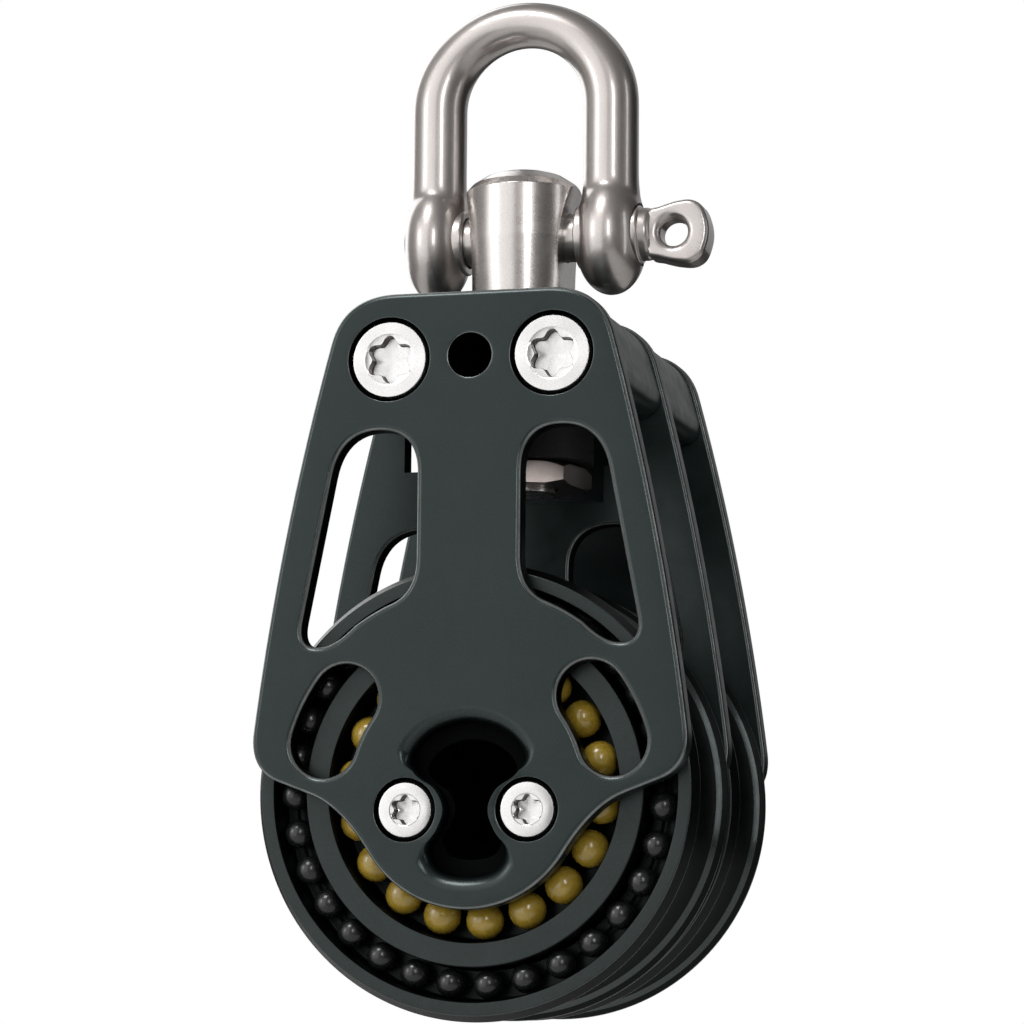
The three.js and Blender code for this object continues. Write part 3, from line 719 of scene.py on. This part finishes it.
# The nut's steel is darker than the other steel: painted shade, for the nut sits in shadow inside the
# block.
NUT_STEEL_PAINTED_SHADE = stainless("milled_stainless_painted_shade", 0.3, (0.38, 0.33, 0.31), turned=True)
BLACK_BALL = ball_plastic("black_ball", (0.005, 0.0055, 0.0055), (0.009, 0.010, 0.010), 0.28, 0.3)
GOLD_BALL = ball_plastic("gold_ball", (0.31, 0.205, 0.022), (0.40, 0.275, 0.036), 0.25, 0.8)
# The washers are black plastic made darker still: painted shade above the nut.
WASHER_PAINTED_SHADE = ball_plastic("washer_plastic", (0.003, 0.003, 0.003), (0.005, 0.005, 0.005), 0.6, 0.0)


# ---- Plates, head blocks and hubs ----

def both_sides(spec):
    """The places, in X and Z, of a pair of screws."""
    return [(side * spec["x"], spec["z"]) for side in (-1, 1)]


def screw_holes(spec, stem, y0, y1):
    """The two plain round holes of a pair of screws. stem is the part of them that goes through."""
    edges = wall(y0, y1, HOLE_ROUND, HOLE_ROUND, 1)
    return [(circle(x, z, spec[stem] + HOLE_GAP), True, edges) for x, z in both_sides(spec)]


def step_hole(x, z, wide, narrow, y0, floor, y1):
    """A round hole that is wide from y0 to floor and narrow from there to y1."""
    step, edge = narrow - wide, SEAT_ROUND
    shiny = edge * 0.3
    rings = [(edge, y0, 0, 0), (shiny, y0 + shiny, 0.9, 0.4)]
    rings += [(0, y0 + edge, 0, 1), (0, floor, 0, 1), (step, floor, 0, 1)]
    rings += [(step, y1 - edge, 0, 1), (step + edge, y1, 0, 0)]
    return circle(x, z, wide, 72), True, rings


def lashing_share(point):
    """How much of the lashing hole's round is left where the hub's screw seats come close."""
    least, rim = 0.08, 1.25
    near = min(math.dist(point, centre) for centre in both_sides(HUB_SCREW))
    room = near - HUB_SCREW["head"] - HEAD_GAP - rim
    return min(1, max(least, room / LASHING_ROUND))


def cheek(side):
    """The front cheek, for side -1, or the rear cheek, for side 1, which has no windows.

    The wide part of a screw hole starts at the plate's front face on both. It is the screw's seat
    in the front cheek. In the rear cheek it is under 1 mm deep, and the nut's head sits in the
    plate behind it.
    """
    label = "front" if side < 0 else "rear"
    y0, y1 = depth_of(f"{label}_cheek")
    floor = y0 + SEAT_DEPTH if side < 0 else y1 - SEAT_DEPTH

    def edges(outward, inward, steps=4):
        """A wall, from the rounds of its edges on the block's outside and inside."""
        rounds = (outward, inward) if side < 0 else (inward, outward)
        return wall(y0, y1, *rounds, steps)

    plain = edges(OUTWARD_ROUND, PLATE_ROUND)
    loops = [(plate_outline(), False, plain)]
    for hand in (-1, 1):
        if side < 0:
            loops.append((window(hand, CHEEK_WINDOW_TOP), True, plain))
        loops.append((kidney(hand), True, plain))
    soft = edges(LASHING_ROUND, PLATE_ROUND, 7)
    # The lashing hole's rounds stay below the lighter band, so they carry no painted highlight.
    soft = [(inset, y, wear_and_glint * 0.72, turn) for inset, y, wear_and_glint, turn in soft]
    loops.append((lashing(), True, soft, lashing_share))
    lock = edges(LOCK_HOLE["outward"], LOCK_HOLE["inward"], 2)
    loops.append((circle(0, LOCK_HOLE["z"], LOCK_HOLE["radius"]), True, lock))
    for spec in (HEAD_SCREW, HUB_SCREW):
        wide, narrow = spec["head"] + HEAD_GAP, spec[STEM[label]] + HOLE_GAP
        loops += [step_hole(x, z, wide, narrow, y0, floor, y1) for x, z in both_sides(spec)]
    return slab(loops)


def centre_plate():
    """The plate between the sheaves, open at its head for the post and its nut."""
    y0, y1 = depth_of("centre_plate")
    plain = wall(y0, y1, PLATE_ROUND, PLATE_ROUND)
    loops = [(plate_outline(), False, plain)]
    for hand in (-1, 1):
        loops.append((window(hand, CENTRE_WINDOW_TOP), True, plain))
        loops.append((kidney(hand), True, plain))
    loops.append((lashing(), True, plain))
    for spec in (HEAD_SCREW, HUB_SCREW):
        loops += screw_holes(spec, "shank", y0, y1)
    cutters = []
    for opening in CENTRE_OPENINGS:
        half = opening["half"]
        cutters.append(block((-half, y0 - 1, opening["bottom"]), (half, y1 + 1, opening["top"])))
    return break_edges(combined(slab(loops), "DIFFERENCE", *cutters), 0.25, 60)


def head_block(label):
    """The filler between two plates at the head, bored for the post's journal."""
    y0, y1 = depth_of(f"head_block_{label}")
    edge = HEAD_BLOCK["round"]
    loops = [(head_block_outline(), False, wall(y0, y1, edge, edge, 3))]
    loops += screw_holes(HEAD_SCREW, STEM[label], y0, y1)
    tools = [rod("Z", POST["journal"] + 0.1, 60, 90)]
    if label == "front":
        tools.append(rod("Y", LOCK_HOLE["inside"], y0 - 6, -1, (0, 0, LOCK_HOLE["z"])))
    return combined(slab(loops), "DIFFERENCE", *tools)


def hub(label):
    """The core that a race ring turns on, painted shadow black. Its lashing hole has no rubbed edges.
    """
    y0, y1 = depth_of(f"hub_{label}")
    outside, inside = HUB_ROUND["outside"], HUB_ROUND["lashing"]
    loops = [(circle(0, 0, HUB_RADIUS, 128), False, wall(y0, y1, outside, outside, 2))]
    plain = [(inset, y, 0, turn) for inset, y, _, turn in wall(y0, y1, inside, inside, 2)]
    loops.append((lashing(HUB_OPENING), True, plain))
    return slab(loops + screw_holes(HUB_SCREW, STEM[label], y0, y1))


def lock_hole_wall(face):
    """1 on the wall of the lock screw's hole, which is painted black as shadow, and 0 elsewhere."""
    short_of_face = 28
    spot = face.calc_center_median()
    near = math.dist((spot.x, spot.z), (0, LOCK_HOLE["z"])) < LOCK_HOLE["inside"] + 0.2
    return 1 if near and abs(spot.y) < short_of_face else 0


def add_plates():
    body, slot = "plate_frame", "anodised_plate"
    piece("cheek_plate_front", cheek(-1), body, [PLATE], ["front_cheek"])
    piece("cheek_plate_centre", centre_plate(), body, [PLATE], ["centre_plate"])
    piece("cheek_plate_rear", cheek(1), body, [PLATE], ["rear_cheek"])
    for label in ("front", "rear"):
        piece(f"head_filler_{label}", head_block(label), body, [PLATE, SHADOWED],
              [f"head_block_{label}"], choose=lock_hole_wall)
        piece(f"hub_core_{label}", hub(label), body, [SHADOWED], [f"hub_{label}"])


# ---- Fasteners ----

def six_lobe(radius):
    """The outline of a six-lobed drive as a radius for each angle."""
    mean, swing = 0.87, 0.13
    return lambda turn: radius * (mean - swing * math.cos(6 * turn))


def screw_head(spec, face, inward):
    """Rings from the drive's floor out over the head's face to its underside.

    face is the y of the head's flat top, and inward is 1 or -1, the way into the block.
    """
    drive, head, thick = spec["drive"], spec["head"], HEAD_THICKNESS
    floor = [(0, 2.3), (0.3, 2.25), (0.6, 2.15)]
    sides = [(0.93, 2.05), (0.96, 1.9), (0.98, 0.2), (1.0, 0.12)]
    mouth = [(1.02, 0.08), (1.07, 0)]
    edge = [(0.55, 0), (0.45, 0.03), (0.1, 0.36), (0, 0.55), (0, thick - 0.1), (0.1, thick)]
    rings = [(drive * share, depth) for share, depth in floor]
    rings += [(six_lobe(drive * share), depth) for share, depth in sides]
    rings += [(drive * share, depth) for share, depth in mouth]
    rings += [(head - inset, depth) for inset, depth in edge]
    return [(radius, face + inward * depth) for radius, depth in rings]


def stemmed(spec, face, inward, radius, end, chamfer):
    """The section of a screw or nut, from its drive over its head and along its stem to end."""
    profile = screw_head(spec, face, inward)
    neck, fillet = profile[-1][1], 0.3
    return profile + [
        (radius + fillet, neck), (radius, neck + inward * fillet),
        (radius, end - inward * chamfer), (radius - chamfer, end),
    ]


def screw(spec):
    """The section of the screw that enters from the front."""
    face, tip = depth_of("head_screw_left")
    return stemmed(spec, face, 1, spec["shank"], tip, 0.6) + [(0, tip)]


def sleeve_nut(spec):
    """The section of the nut that meets it from the rear, hollow where the screw's end enters."""
    start, face = depth_of("head_nut_left")
    bore, bore_end = spec["shank"] + 0.15, start + 20
    profile = stemmed(spec, face, -1, spec["sleeve"], start, 0.4)
    return profile + [(bore, start), (bore, bore_end), (0, bore_end + 0.8)]


def drive_wall(spec, x):
    """Chooses 1, the darker steel of painted shade, on the walls of a drive and 0 elsewhere."""
    def choose(face):
        spot = face.calc_center_median()
        near = math.dist((spot.x, spot.z), (x, spec["z"])) < spec["drive"]
        return 1 if near and abs(face.normal.y) < 0.6 else 0
    return choose


def add_fasteners():
    for label, spec in (("head", HEAD_SCREW), ("hub", HUB_SCREW)):
        for word, side in (("left", -1), ("right", 1)):
            x = side * spec["x"]
            for kind, make in (("screw", screw), ("nut", sleeve_nut)):
                turned = lathe(make(spec), "Y", SMALL_LATHE_STEPS, (x, 0, spec["z"]))
                piece(f"{label}_{word}_{kind}_turned", turned, "plate_frame",
                      [SCREW_STEEL, DRIVE_STEEL_PAINTED_SHADE], [f"{label}_{kind}_{word}"], 20,
                      drive_wall(spec, x))


# ---- Sheaves, race rings and balls ----

def groove_profile():
    """The hollow that carries the rope, an arc from one flange to the other."""
    radius = (GROOVE_HALF_WIDTH ** 2 + GROOVE_DEPTH ** 2) / (2 * GROOVE_DEPTH)
    centre = SHEAVE_RADIUS - GROOVE_DEPTH + radius
    sweep = math.asin(GROOVE_HALF_WIDTH / radius)
    turns = [sweep * (k / 10 - 1) for k in range(21)]
    points = [(centre - radius * math.cos(t), radius * math.sin(t)) for t in turns]
    (r0, h0), (r1, h1) = points[0], points[-1]
    return [(r0, h0, 0.5), *points[1:-1], (r1, h1, 0.5)]


def sheave_rim():
    """The sheave's section: two flat faces, the groove, and a web between the rows of balls."""
    half = SHEAVE_HALF_WIDTH
    web = half - OUTER_BALL["depth"] - OUTER_BALL["radius"] - BALL_GAP
    inner = RING_OUTER + RUNNING_GAP
    return rounded([
        (SHEAVE_BORE, -half, 0.3), (SHEAVE_FACE_RADIUS, -half, 0.3),
        (SHEAVE_RADIUS, -half + RIM_CHAMFER, 0.3),
        *groove_profile(),
        (SHEAVE_RADIUS, half - RIM_CHAMFER, 0.3),
        (SHEAVE_FACE_RADIUS, half, 0.3), (SHEAVE_BORE, half, 0.3),
        (SHEAVE_BORE, web, 0.8), (inner, web, 0.2), (inner, -web, 0.2), (SHEAVE_BORE, -web, 0.8),
    ])


def race_ring():
    """The section of the ring between the black and the gold balls."""
    half = SHEAVE_HALF_WIDTH
    web = half - INNER_BALL["depth"] - INNER_BALL["radius"] - BALL_GAP
    inner = HUB_RADIUS + RUNNING_GAP
    return rounded([
        (RING_BORE, -half, 0.35), (RING_OUTER, -half, 0.35),
        (RING_OUTER, half, 0.35), (RING_BORE, half, 0.35),
        (RING_BORE, web, 1.0), (inner, web, 0.2), (inner, -web, 0.2), (RING_BORE, -web, 1.0),
    ])


def ball_row(ball, circle_radius, y, outward):
    """A row of balls on a slim cage, which lies further into the block than their middles."""
    cage_y = y - outward * ball["cage"]
    turns = [TURN * k / 10 for k in range(10)]
    bm = lathe(
        [(circle_radius + CAGE_BAR * math.cos(a), CAGE_BAR * math.sin(a) + cage_y) for a in turns],
        segments=SMALL_LATHE_STEPS,
    )
    for k in range(ball["count"]):
        turn = TURN * k / ball["count"] + math.radians(ball["turned"])
        spot = (circle_radius * math.sin(turn), y, circle_radius * math.cos(turn))
        matrix = Matrix.Translation(spot)
        bmesh.ops.create_icosphere(bm, subdivisions=3, radius=ball["radius"], matrix=matrix)
    return bm


def cage_face(face):
    """1 on the cage, whose faces have four corners and which is painted black as shadow, and 0 on the
    balls.
    """
    return 1 if len(face.verts) == 4 else 0


def turned_face(y):
    """Chooses 0 on the two flat side faces, 2 on the rim's thin edges and 1 elsewhere, which is
    painted near-black as shade.
    """
    def choose(face):
        spot = face.calc_center_median()
        radius, off = math.hypot(spot.x, spot.z), abs(spot.y - y)
        # Index 2 is lighter: wear and a painted highlight on the rim edges.
        if radius > SHEAVE_RADIUS - 0.12 and off > GROOVE_HALF_WIDTH - 0.3:
            return 2
        if abs(off - SHEAVE_HALF_WIDTH) < 0.02:
            return 0
        return 2 if abs(radius - SHEAVE_FACE_RADIUS) < 0.25 else 1
    return choose


def add_sheaves():
    turned = (
        ("sheave_rim", sheave_rim(), 224, "sheave"),
        ("ball_race", race_ring(), 192, "race_ring"),
    )
    kinds = (
        ("black", "outer", OUTER_BALL, (SHEAVE_BORE + RING_OUTER) / 2, BLACK_BALL),
        ("gold", "inner", INNER_BALL, (RING_BORE + HUB_RADIUS) / 2, GOLD_BALL),
    )
    for label, side in (("front", -1), ("rear", 1)):
        y = SHEAVE_Y[label]
        for name, section, steps, part in turned:
            piece(f"{name}_{label}", lathe(section, centre=(0, y, 0), segments=steps),
                  f"{label}_{part}", [RACE_FACE, GROOVE_PAINTED_SHADE, RIM_EDGE_AND_GLINT],
                  [f"{part}_{label}"], choose=turned_face(y))
        for row, outward in (("outboard", side), ("inboard", -side)):
            for colour, place, ball, circle_radius, look in kinds:
                row_y = y + outward * (SHEAVE_HALF_WIDTH - ball["depth"])
                piece(f"{colour}_balls_{label}_{row}",
                      ball_row(ball, circle_radius, row_y, outward),
                      f"{label}_{place}_balls", [look, SHADOWED],
                      [f"{place}_balls_{label}_{row}"], 60, cage_face)


# ---- Swivel post, nut and washers ----

def swivel_post():
    """The post: a journal, a body that widens upwards, a dome, and a hollow waist on each side."""
    radius, journal, shoulder = POST["radius"], POST["journal"], POST["shoulder"]
    bottom, reach = bottom_of("swivel_post"), 16
    body = lathe(rounded([
        (0, bottom), (journal, bottom, 0.5), (journal, shoulder), (POST["foot"], shoulder, 0.3),
        (radius - 0.04, POST["crease"] - 0.3), (radius, POST["crease"]), (radius, POST_RIM, 0.25),
        *POST_DOME, (0, POST["top"]),
    ], closed=False), "Z")
    out = POST_WAIST["x"] + POST_WAIST["radius"]
    waists = [
        rod("Y", POST_WAIST["radius"], -reach, reach, (side * out, 0, POST_WAIST["z"]), 720)
        for side in (-1, 1)
    ]
    # The waists stop at the shoulder.
    below = (-60, -20, 40), (60, 20, shoulder - 0.01)
    waists = [combined(waist, "DIFFERENCE", block(*below)) for waist in waists]
    bore = rod("X", PIN["radius"] + PIN["clearance"], -reach, reach, (0, 0, PIN["z"]), 96)
    return break_edges(combined(body, "DIFFERENCE", *waists, bore), 0.3, 25)


def post_nut():
    """A hexagon nut with both its faces chamfered by a cone."""
    low, high = bottom_of("post_nut"), top_of("post_nut")
    corner = NUT["across_flats"] / math.sqrt(3)
    face, rim = corner - NUT["face"], corner + 0.2
    hexagon = lathe([(0, low), (corner, low), (corner, high), (0, high)], "Z", 6)
    turn = Matrix.Rotation(math.radians(NUT["turned"]), 3, "Z")
    bmesh.ops.rotate(hexagon, verts=hexagon.verts, matrix=turn)
    chamfer = [(0, low), (face, low), (rim, low + 0.8), (rim, high - 1), (face, high), (0, high)]
    body = combined(hexagon, "INTERSECT", lathe(chamfer, "Z", SMALL_LATHE_STEPS))
    bore = rod("Z", POST["journal"] + HOLE_GAP, low - 1, high + 1)
    return break_edges(combined(body, "DIFFERENCE", bore), 0.25, 25)


def washer(node):
    """A flat ring round the journal, as wide and high as its CAD node."""
    bore, radius = POST["journal"] + HOLE_GAP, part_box(node)[1].x / MM
    bottom, top = bottom_of(node), top_of(node)
    return lathe(rounded([
        (bore, bottom, 0.2), (radius, bottom, 0.4), (radius, top, 0.4), (bore, top, 0.2),
    ]), "Z", SMALL_LATHE_STEPS)


def add_post():
    piece("swivel_post_turned", swivel_post(), "post", [POST_STEEL],
          ["swivel_post"], 22)
    piece("post_nut_milled", post_nut(), "post", [NUT_STEEL_PAINTED_SHADE], ["post_nut"], 22)
    for word in ("lower", "upper"):
        node = f"thrust_washer_{word}"
        piece(f"washer_{word}", washer(node), "plate_frame", [WASHER_PAINTED_SHADE], [node])


# ---- Shackle ----

def skinned(rings):
    """A closed bar from rings of points, with flat ends."""
    bm = bmesh.new()
    made = [[bm.verts.new(point) for point in ring] for ring in rings]
    for lower, upper in zip(made, made[1:]):
        bridge(bm, lower, upper)
    bm.faces.new(made[0])
    bm.faces.new(made[-1])
    return bm


def bow_bar():
    """The bar of the bow: legs that swell towards the ears, and a bend that thins at the crown."""
    leg_steps, bend_steps, round_steps = 12, 48, 40
    x, bend_z, rise, leg = BOW["x"], BOW["bend"], BOW["rise"], BOW["leg"]
    up = [(x, PIN["z"] + (bend_z - PIN["z"]) * k / leg_steps, 0.0) for k in range(leg_steps)]
    turns = [math.pi * k / bend_steps for k in range(bend_steps + 1)]
    over = [(x * math.cos(turn), bend_z + rise * math.sin(turn), turn) for turn in turns]
    down = [(-x, z, math.pi) for _, z, _ in reversed(up)]
    rings = []
    for middle_x, z, turn in up + over + down:
        near = max(0, 1 - (z - PIN["z"]) / BOW_SWELL["reach"])
        swell = BOW_SWELL["most"] * near ** BOW_SWELL["power"]
        thin = leg + (BOW["crown"] - leg) * math.sin(turn) ** 2 + swell
        out = Vector((math.cos(turn) / x, 0, math.sin(turn) / rise)).normalized()
        ring = []
        for k in range(round_steps):
            a = TURN * k / round_steps
            side = out * thin * math.cos(a)
            ring.append(Vector((middle_x, 0, z)) + side + Vector((0, (leg + swell) * math.sin(a), 0)))
        rings.append(ring)
    return skinned(rings)


def ear(side):
    """A forged boss round the pin: flatter towards its top and bottom than front and back."""
    rows, columns = 24, 64
    flattest, extra = 0.04, 0.16
    rings = []
    for i in range(rows + 1):
        tilt = math.pi * (i / rows - 0.5)
        x = side * EAR["x"] + EAR["width"][side] * math.sin(tilt)
        ring = []
        for k in range(columns):
            a = TURN * k / columns
            rim = 1 / math.hypot(math.cos(a) / EAR["depth"], math.sin(a) / EAR["height"])
            flat = flattest + extra * math.sin(a) ** 2
            reach = rim * (flat + (1 - flat) * math.cos(tilt))
            ring.append((x, reach * math.cos(a), PIN["z"] + reach * math.sin(a)))
        rings.append(ring)
    return skinned(rings)


def pin_rod(radius, start, end, edge=0.0):
    """A round bar on the pin's axis."""
    return rod("X", radius, start, end, (0, 0, PIN["z"]), 96, edge)


def shackle_bow():
    """The bow: bar and ears forged into one, then faced inside the ears, bossed and bored."""
    forged = softened(combined(bow_bar(), "UNION", ear(-1), ear(1)), **FORGED_SKIN)
    face, edge = EAR_BOSS["face"], EAR_BOSS["round"]
    inside = block((-face, -9, PIN["z"] - 10), (face, 9, PIN["z"] + 10))
    forged = combined(forged, "DIFFERENCE", inside)
    ends = ((-EAR["x"], -face), (face, EAR["x"]))
    bosses = [pin_rod(EAR_BOSS["radius"], start, end, edge) for start, end in ends]
    hole = pin_rod(PIN["radius"] + HOLE_GAP, -30, 30)
    seat = pin_rod(EAR["seat"], EAR_SEAT_X, 30)
    return combined(combined(forged, "UNION", *bosses), "DIFFERENCE", hole, seat)


def tab_outline():
    """The flat head of the pin: narrow at the neck, wider outwards, with a bulging end."""
    lower = [(u, -w) for u, w in reversed(TAB_HALF[:-1])]
    return spline([(TAB["hole_x"] + u, TAB["hole_z"] + w) for u, w in TAB_HALF + lower], 6)


def tab_plate():
    """The tab with the hole for a mousing wire."""
    half, outside, hole = TAB["half_thickness"], TAB_ROUND["outside"], TAB_ROUND["hole"]
    rim = circle(TAB["hole_x"], TAB["hole_z"], TAB["hole"])
    return slab([
        (tab_outline(), False, wall(-half, half, outside, outside, 5)),
        (rim, True, wall(-half, half, hole, hole, 5)),
    ])


def shackle_pin():
    """The pin: a plain shank, a collar against the right ear, a neck and the tab."""
    start = -EAR["x"] - EAR["width"][-1] + 0.4
    collar_start, collar_end = PIN_COLLAR_X
    neck_start, neck_end = PIN_NECK_X
    shank = lathe(rounded([
        (0, start), (PIN["radius"], start, 0.6), (PIN["radius"], collar_start, 0.1),
        (PIN["collar"], collar_start, 0.25), (PIN["collar"], collar_end, 0.35),
        (PIN["neck"], neck_start, 0.1), (PIN["neck"], neck_end, 0.9), (0, neck_end + 0.1),
    ], closed=False), "X", SMALL_LATHE_STEPS, (0, 0, PIN["z"]))
    return combined(shank, "UNION", tab_plate())


def add_shackle():
    piece("shackle_bow_forged", shackle_bow(), "shackle", [STEEL],
          ["shackle_bow"], 32)
    piece("shackle_pin_turned", shackle_pin(), "shackle", [STEEL],
          ["shackle_pin"], 32)


# ---- Stage, lights and camera ----

CAMERA = {
    "location": (0.15396, -0.55595, -0.16266),
    "azimuth": 15.653,
    "elevation": 7.872,
    "roll": 0.4825,
    "lens": 118.14,
    "sensor": 36.0,
}

# The lights aim near the middle of the block.
AIM = Vector((0, 0, -0.09))
LIGHT_DISTANCE = 0.9

# Each light's name, degrees round from the camera's side, degrees up, size and radiance.
SOFTBOXES = [
    ("left_box", -50, 6, (1.0, 1.0), 1.05),
    ("upper_key", -38, 52, (0.3, 0.3), 9.0),
    ("left_rim", -62, 14, (0.16, 0.3), 4.0),
    ("front_strip", 6, 14, (0.19, 0.36), 5.5),
    ("right_strip", 68, 10, (0.12, 0.7), 2.2),
    ("back_left", -150, 30, (0.6, 0.9), 1.6),
    ("back_right", 150, 30, (0.6, 0.9), 0.35),
]

# Where the studio is brightest, in degrees round and up, and how it falls off from there.
BRIGHTEST = (-60, 35)
STUDIO_RAMP = {"From Min": -0.55, "From Max": 0.9, "To Min": 0.01, "To Max": 0.36}
STUDIO_COLOUR = (1.0, 0.975, 0.955, 1)
WHITE = (1, 1, 1, 1)


def direction(azimuth, elevation):
    """A direction away from the block. Angles are degrees from the camera's side and up."""
    around = math.radians(azimuth + CAMERA["azimuth"])
    up = math.radians(elevation)
    return Vector((
        math.sin(around) * math.cos(up), -math.cos(around) * math.cos(up), math.sin(up),
    ))


def add_camera():
    """The camera, in front of the block and level with its lower end, looking slightly up."""
    data = bpy.data.cameras.new("Camera")
    data.lens = CAMERA["lens"]
    data.sensor_width = CAMERA["sensor"]
    data.clip_start = 0.01
    camera = linked("Camera", data)
    look = -direction(0, -CAMERA["elevation"])
    roll = Matrix.Rotation(math.radians(-CAMERA["roll"]), 3, look)
    turned = roll @ look.to_track_quat("-Z", "Y").to_matrix()
    camera.matrix_world = Matrix.Translation(CAMERA["location"]) @ turned.to_4x4()
    bpy.context.scene.camera = camera


def add_lights():
    """Rectangular lights aimed at the block."""
    for name, azimuth, elevation, size, radiance in SOFTBOXES:
        data = bpy.data.lights.new(name, "AREA")
        data.shape = "RECTANGLE"
        data.size, data.size_y = size
        data.energy = radiance * math.pi * size[0] * size[1]
        light = linked(name, data)
        away = direction(azimuth, elevation)
        light.location = AIM + away * LIGHT_DISTANCE
        light.rotation_euler = away.to_track_quat("Z", "Y").to_euler()


def add_world():
    """White behind the block as seen by the camera, and a studio that darkens to the right."""
    world = bpy.data.worlds.new("studio")
    bpy.context.scene.world = world
    world.use_nodes = True
    tree = world.node_tree
    place = new_node(tree, "TexCoord").outputs["Generated"]
    both = {0: place, 1: direction(*BRIGHTEST)}
    toward = new_node(tree, "VectorMath", both, operation="DOT_PRODUCT").outputs["Value"]
    level = new_node(tree, "MapRange", {"Value": toward, **STUDIO_RAMP})
    lit = tree.nodes["Background"]
    lit.inputs["Color"].default_value = STUDIO_COLOUR
    tree.links.new(level.outputs["Result"], lit.inputs["Strength"])
    seen = new_node(tree, "Background", {"Color": WHITE})
    ray = new_node(tree, "LightPath").outputs["Is Camera Ray"]
    mix = new_node(tree, "MixShader", {"Fac": ray, 1: lit.outputs[0], 2: seen.outputs[0]})
    tree.links.new(mix.outputs[0], tree.nodes["World Output"].inputs["Surface"])


def add_floor():
    """A plain pale floor some way under the hanging block."""
    mesh = bpy.data.meshes.new("floor")
    reach, height = 0.6, -0.31
    corners = [(-reach, -reach), (reach, -reach), (reach, reach), (-reach, reach)]
    mesh.from_pydata([(x, y, height) for x, y in corners], [], [(0, 1, 2, 3)])
    floor = linked("floor", mesh)
    look = Look("floor_paint", Roughness=0.8)
    look.to(look.tint(look.noise(40), (0.72, 0.72, 0.71), (0.76, 0.76, 0.75)), "Base Color")
    mesh.materials.append(look.material)


def main():
    bpy.context.scene.view_settings.view_transform = "Standard"
    add_camera()
    add_world()
    add_lights()
    add_floor()
    add_plates()
    add_fasteners()
    add_sheaves()
    add_post()
    add_shackle()


main()
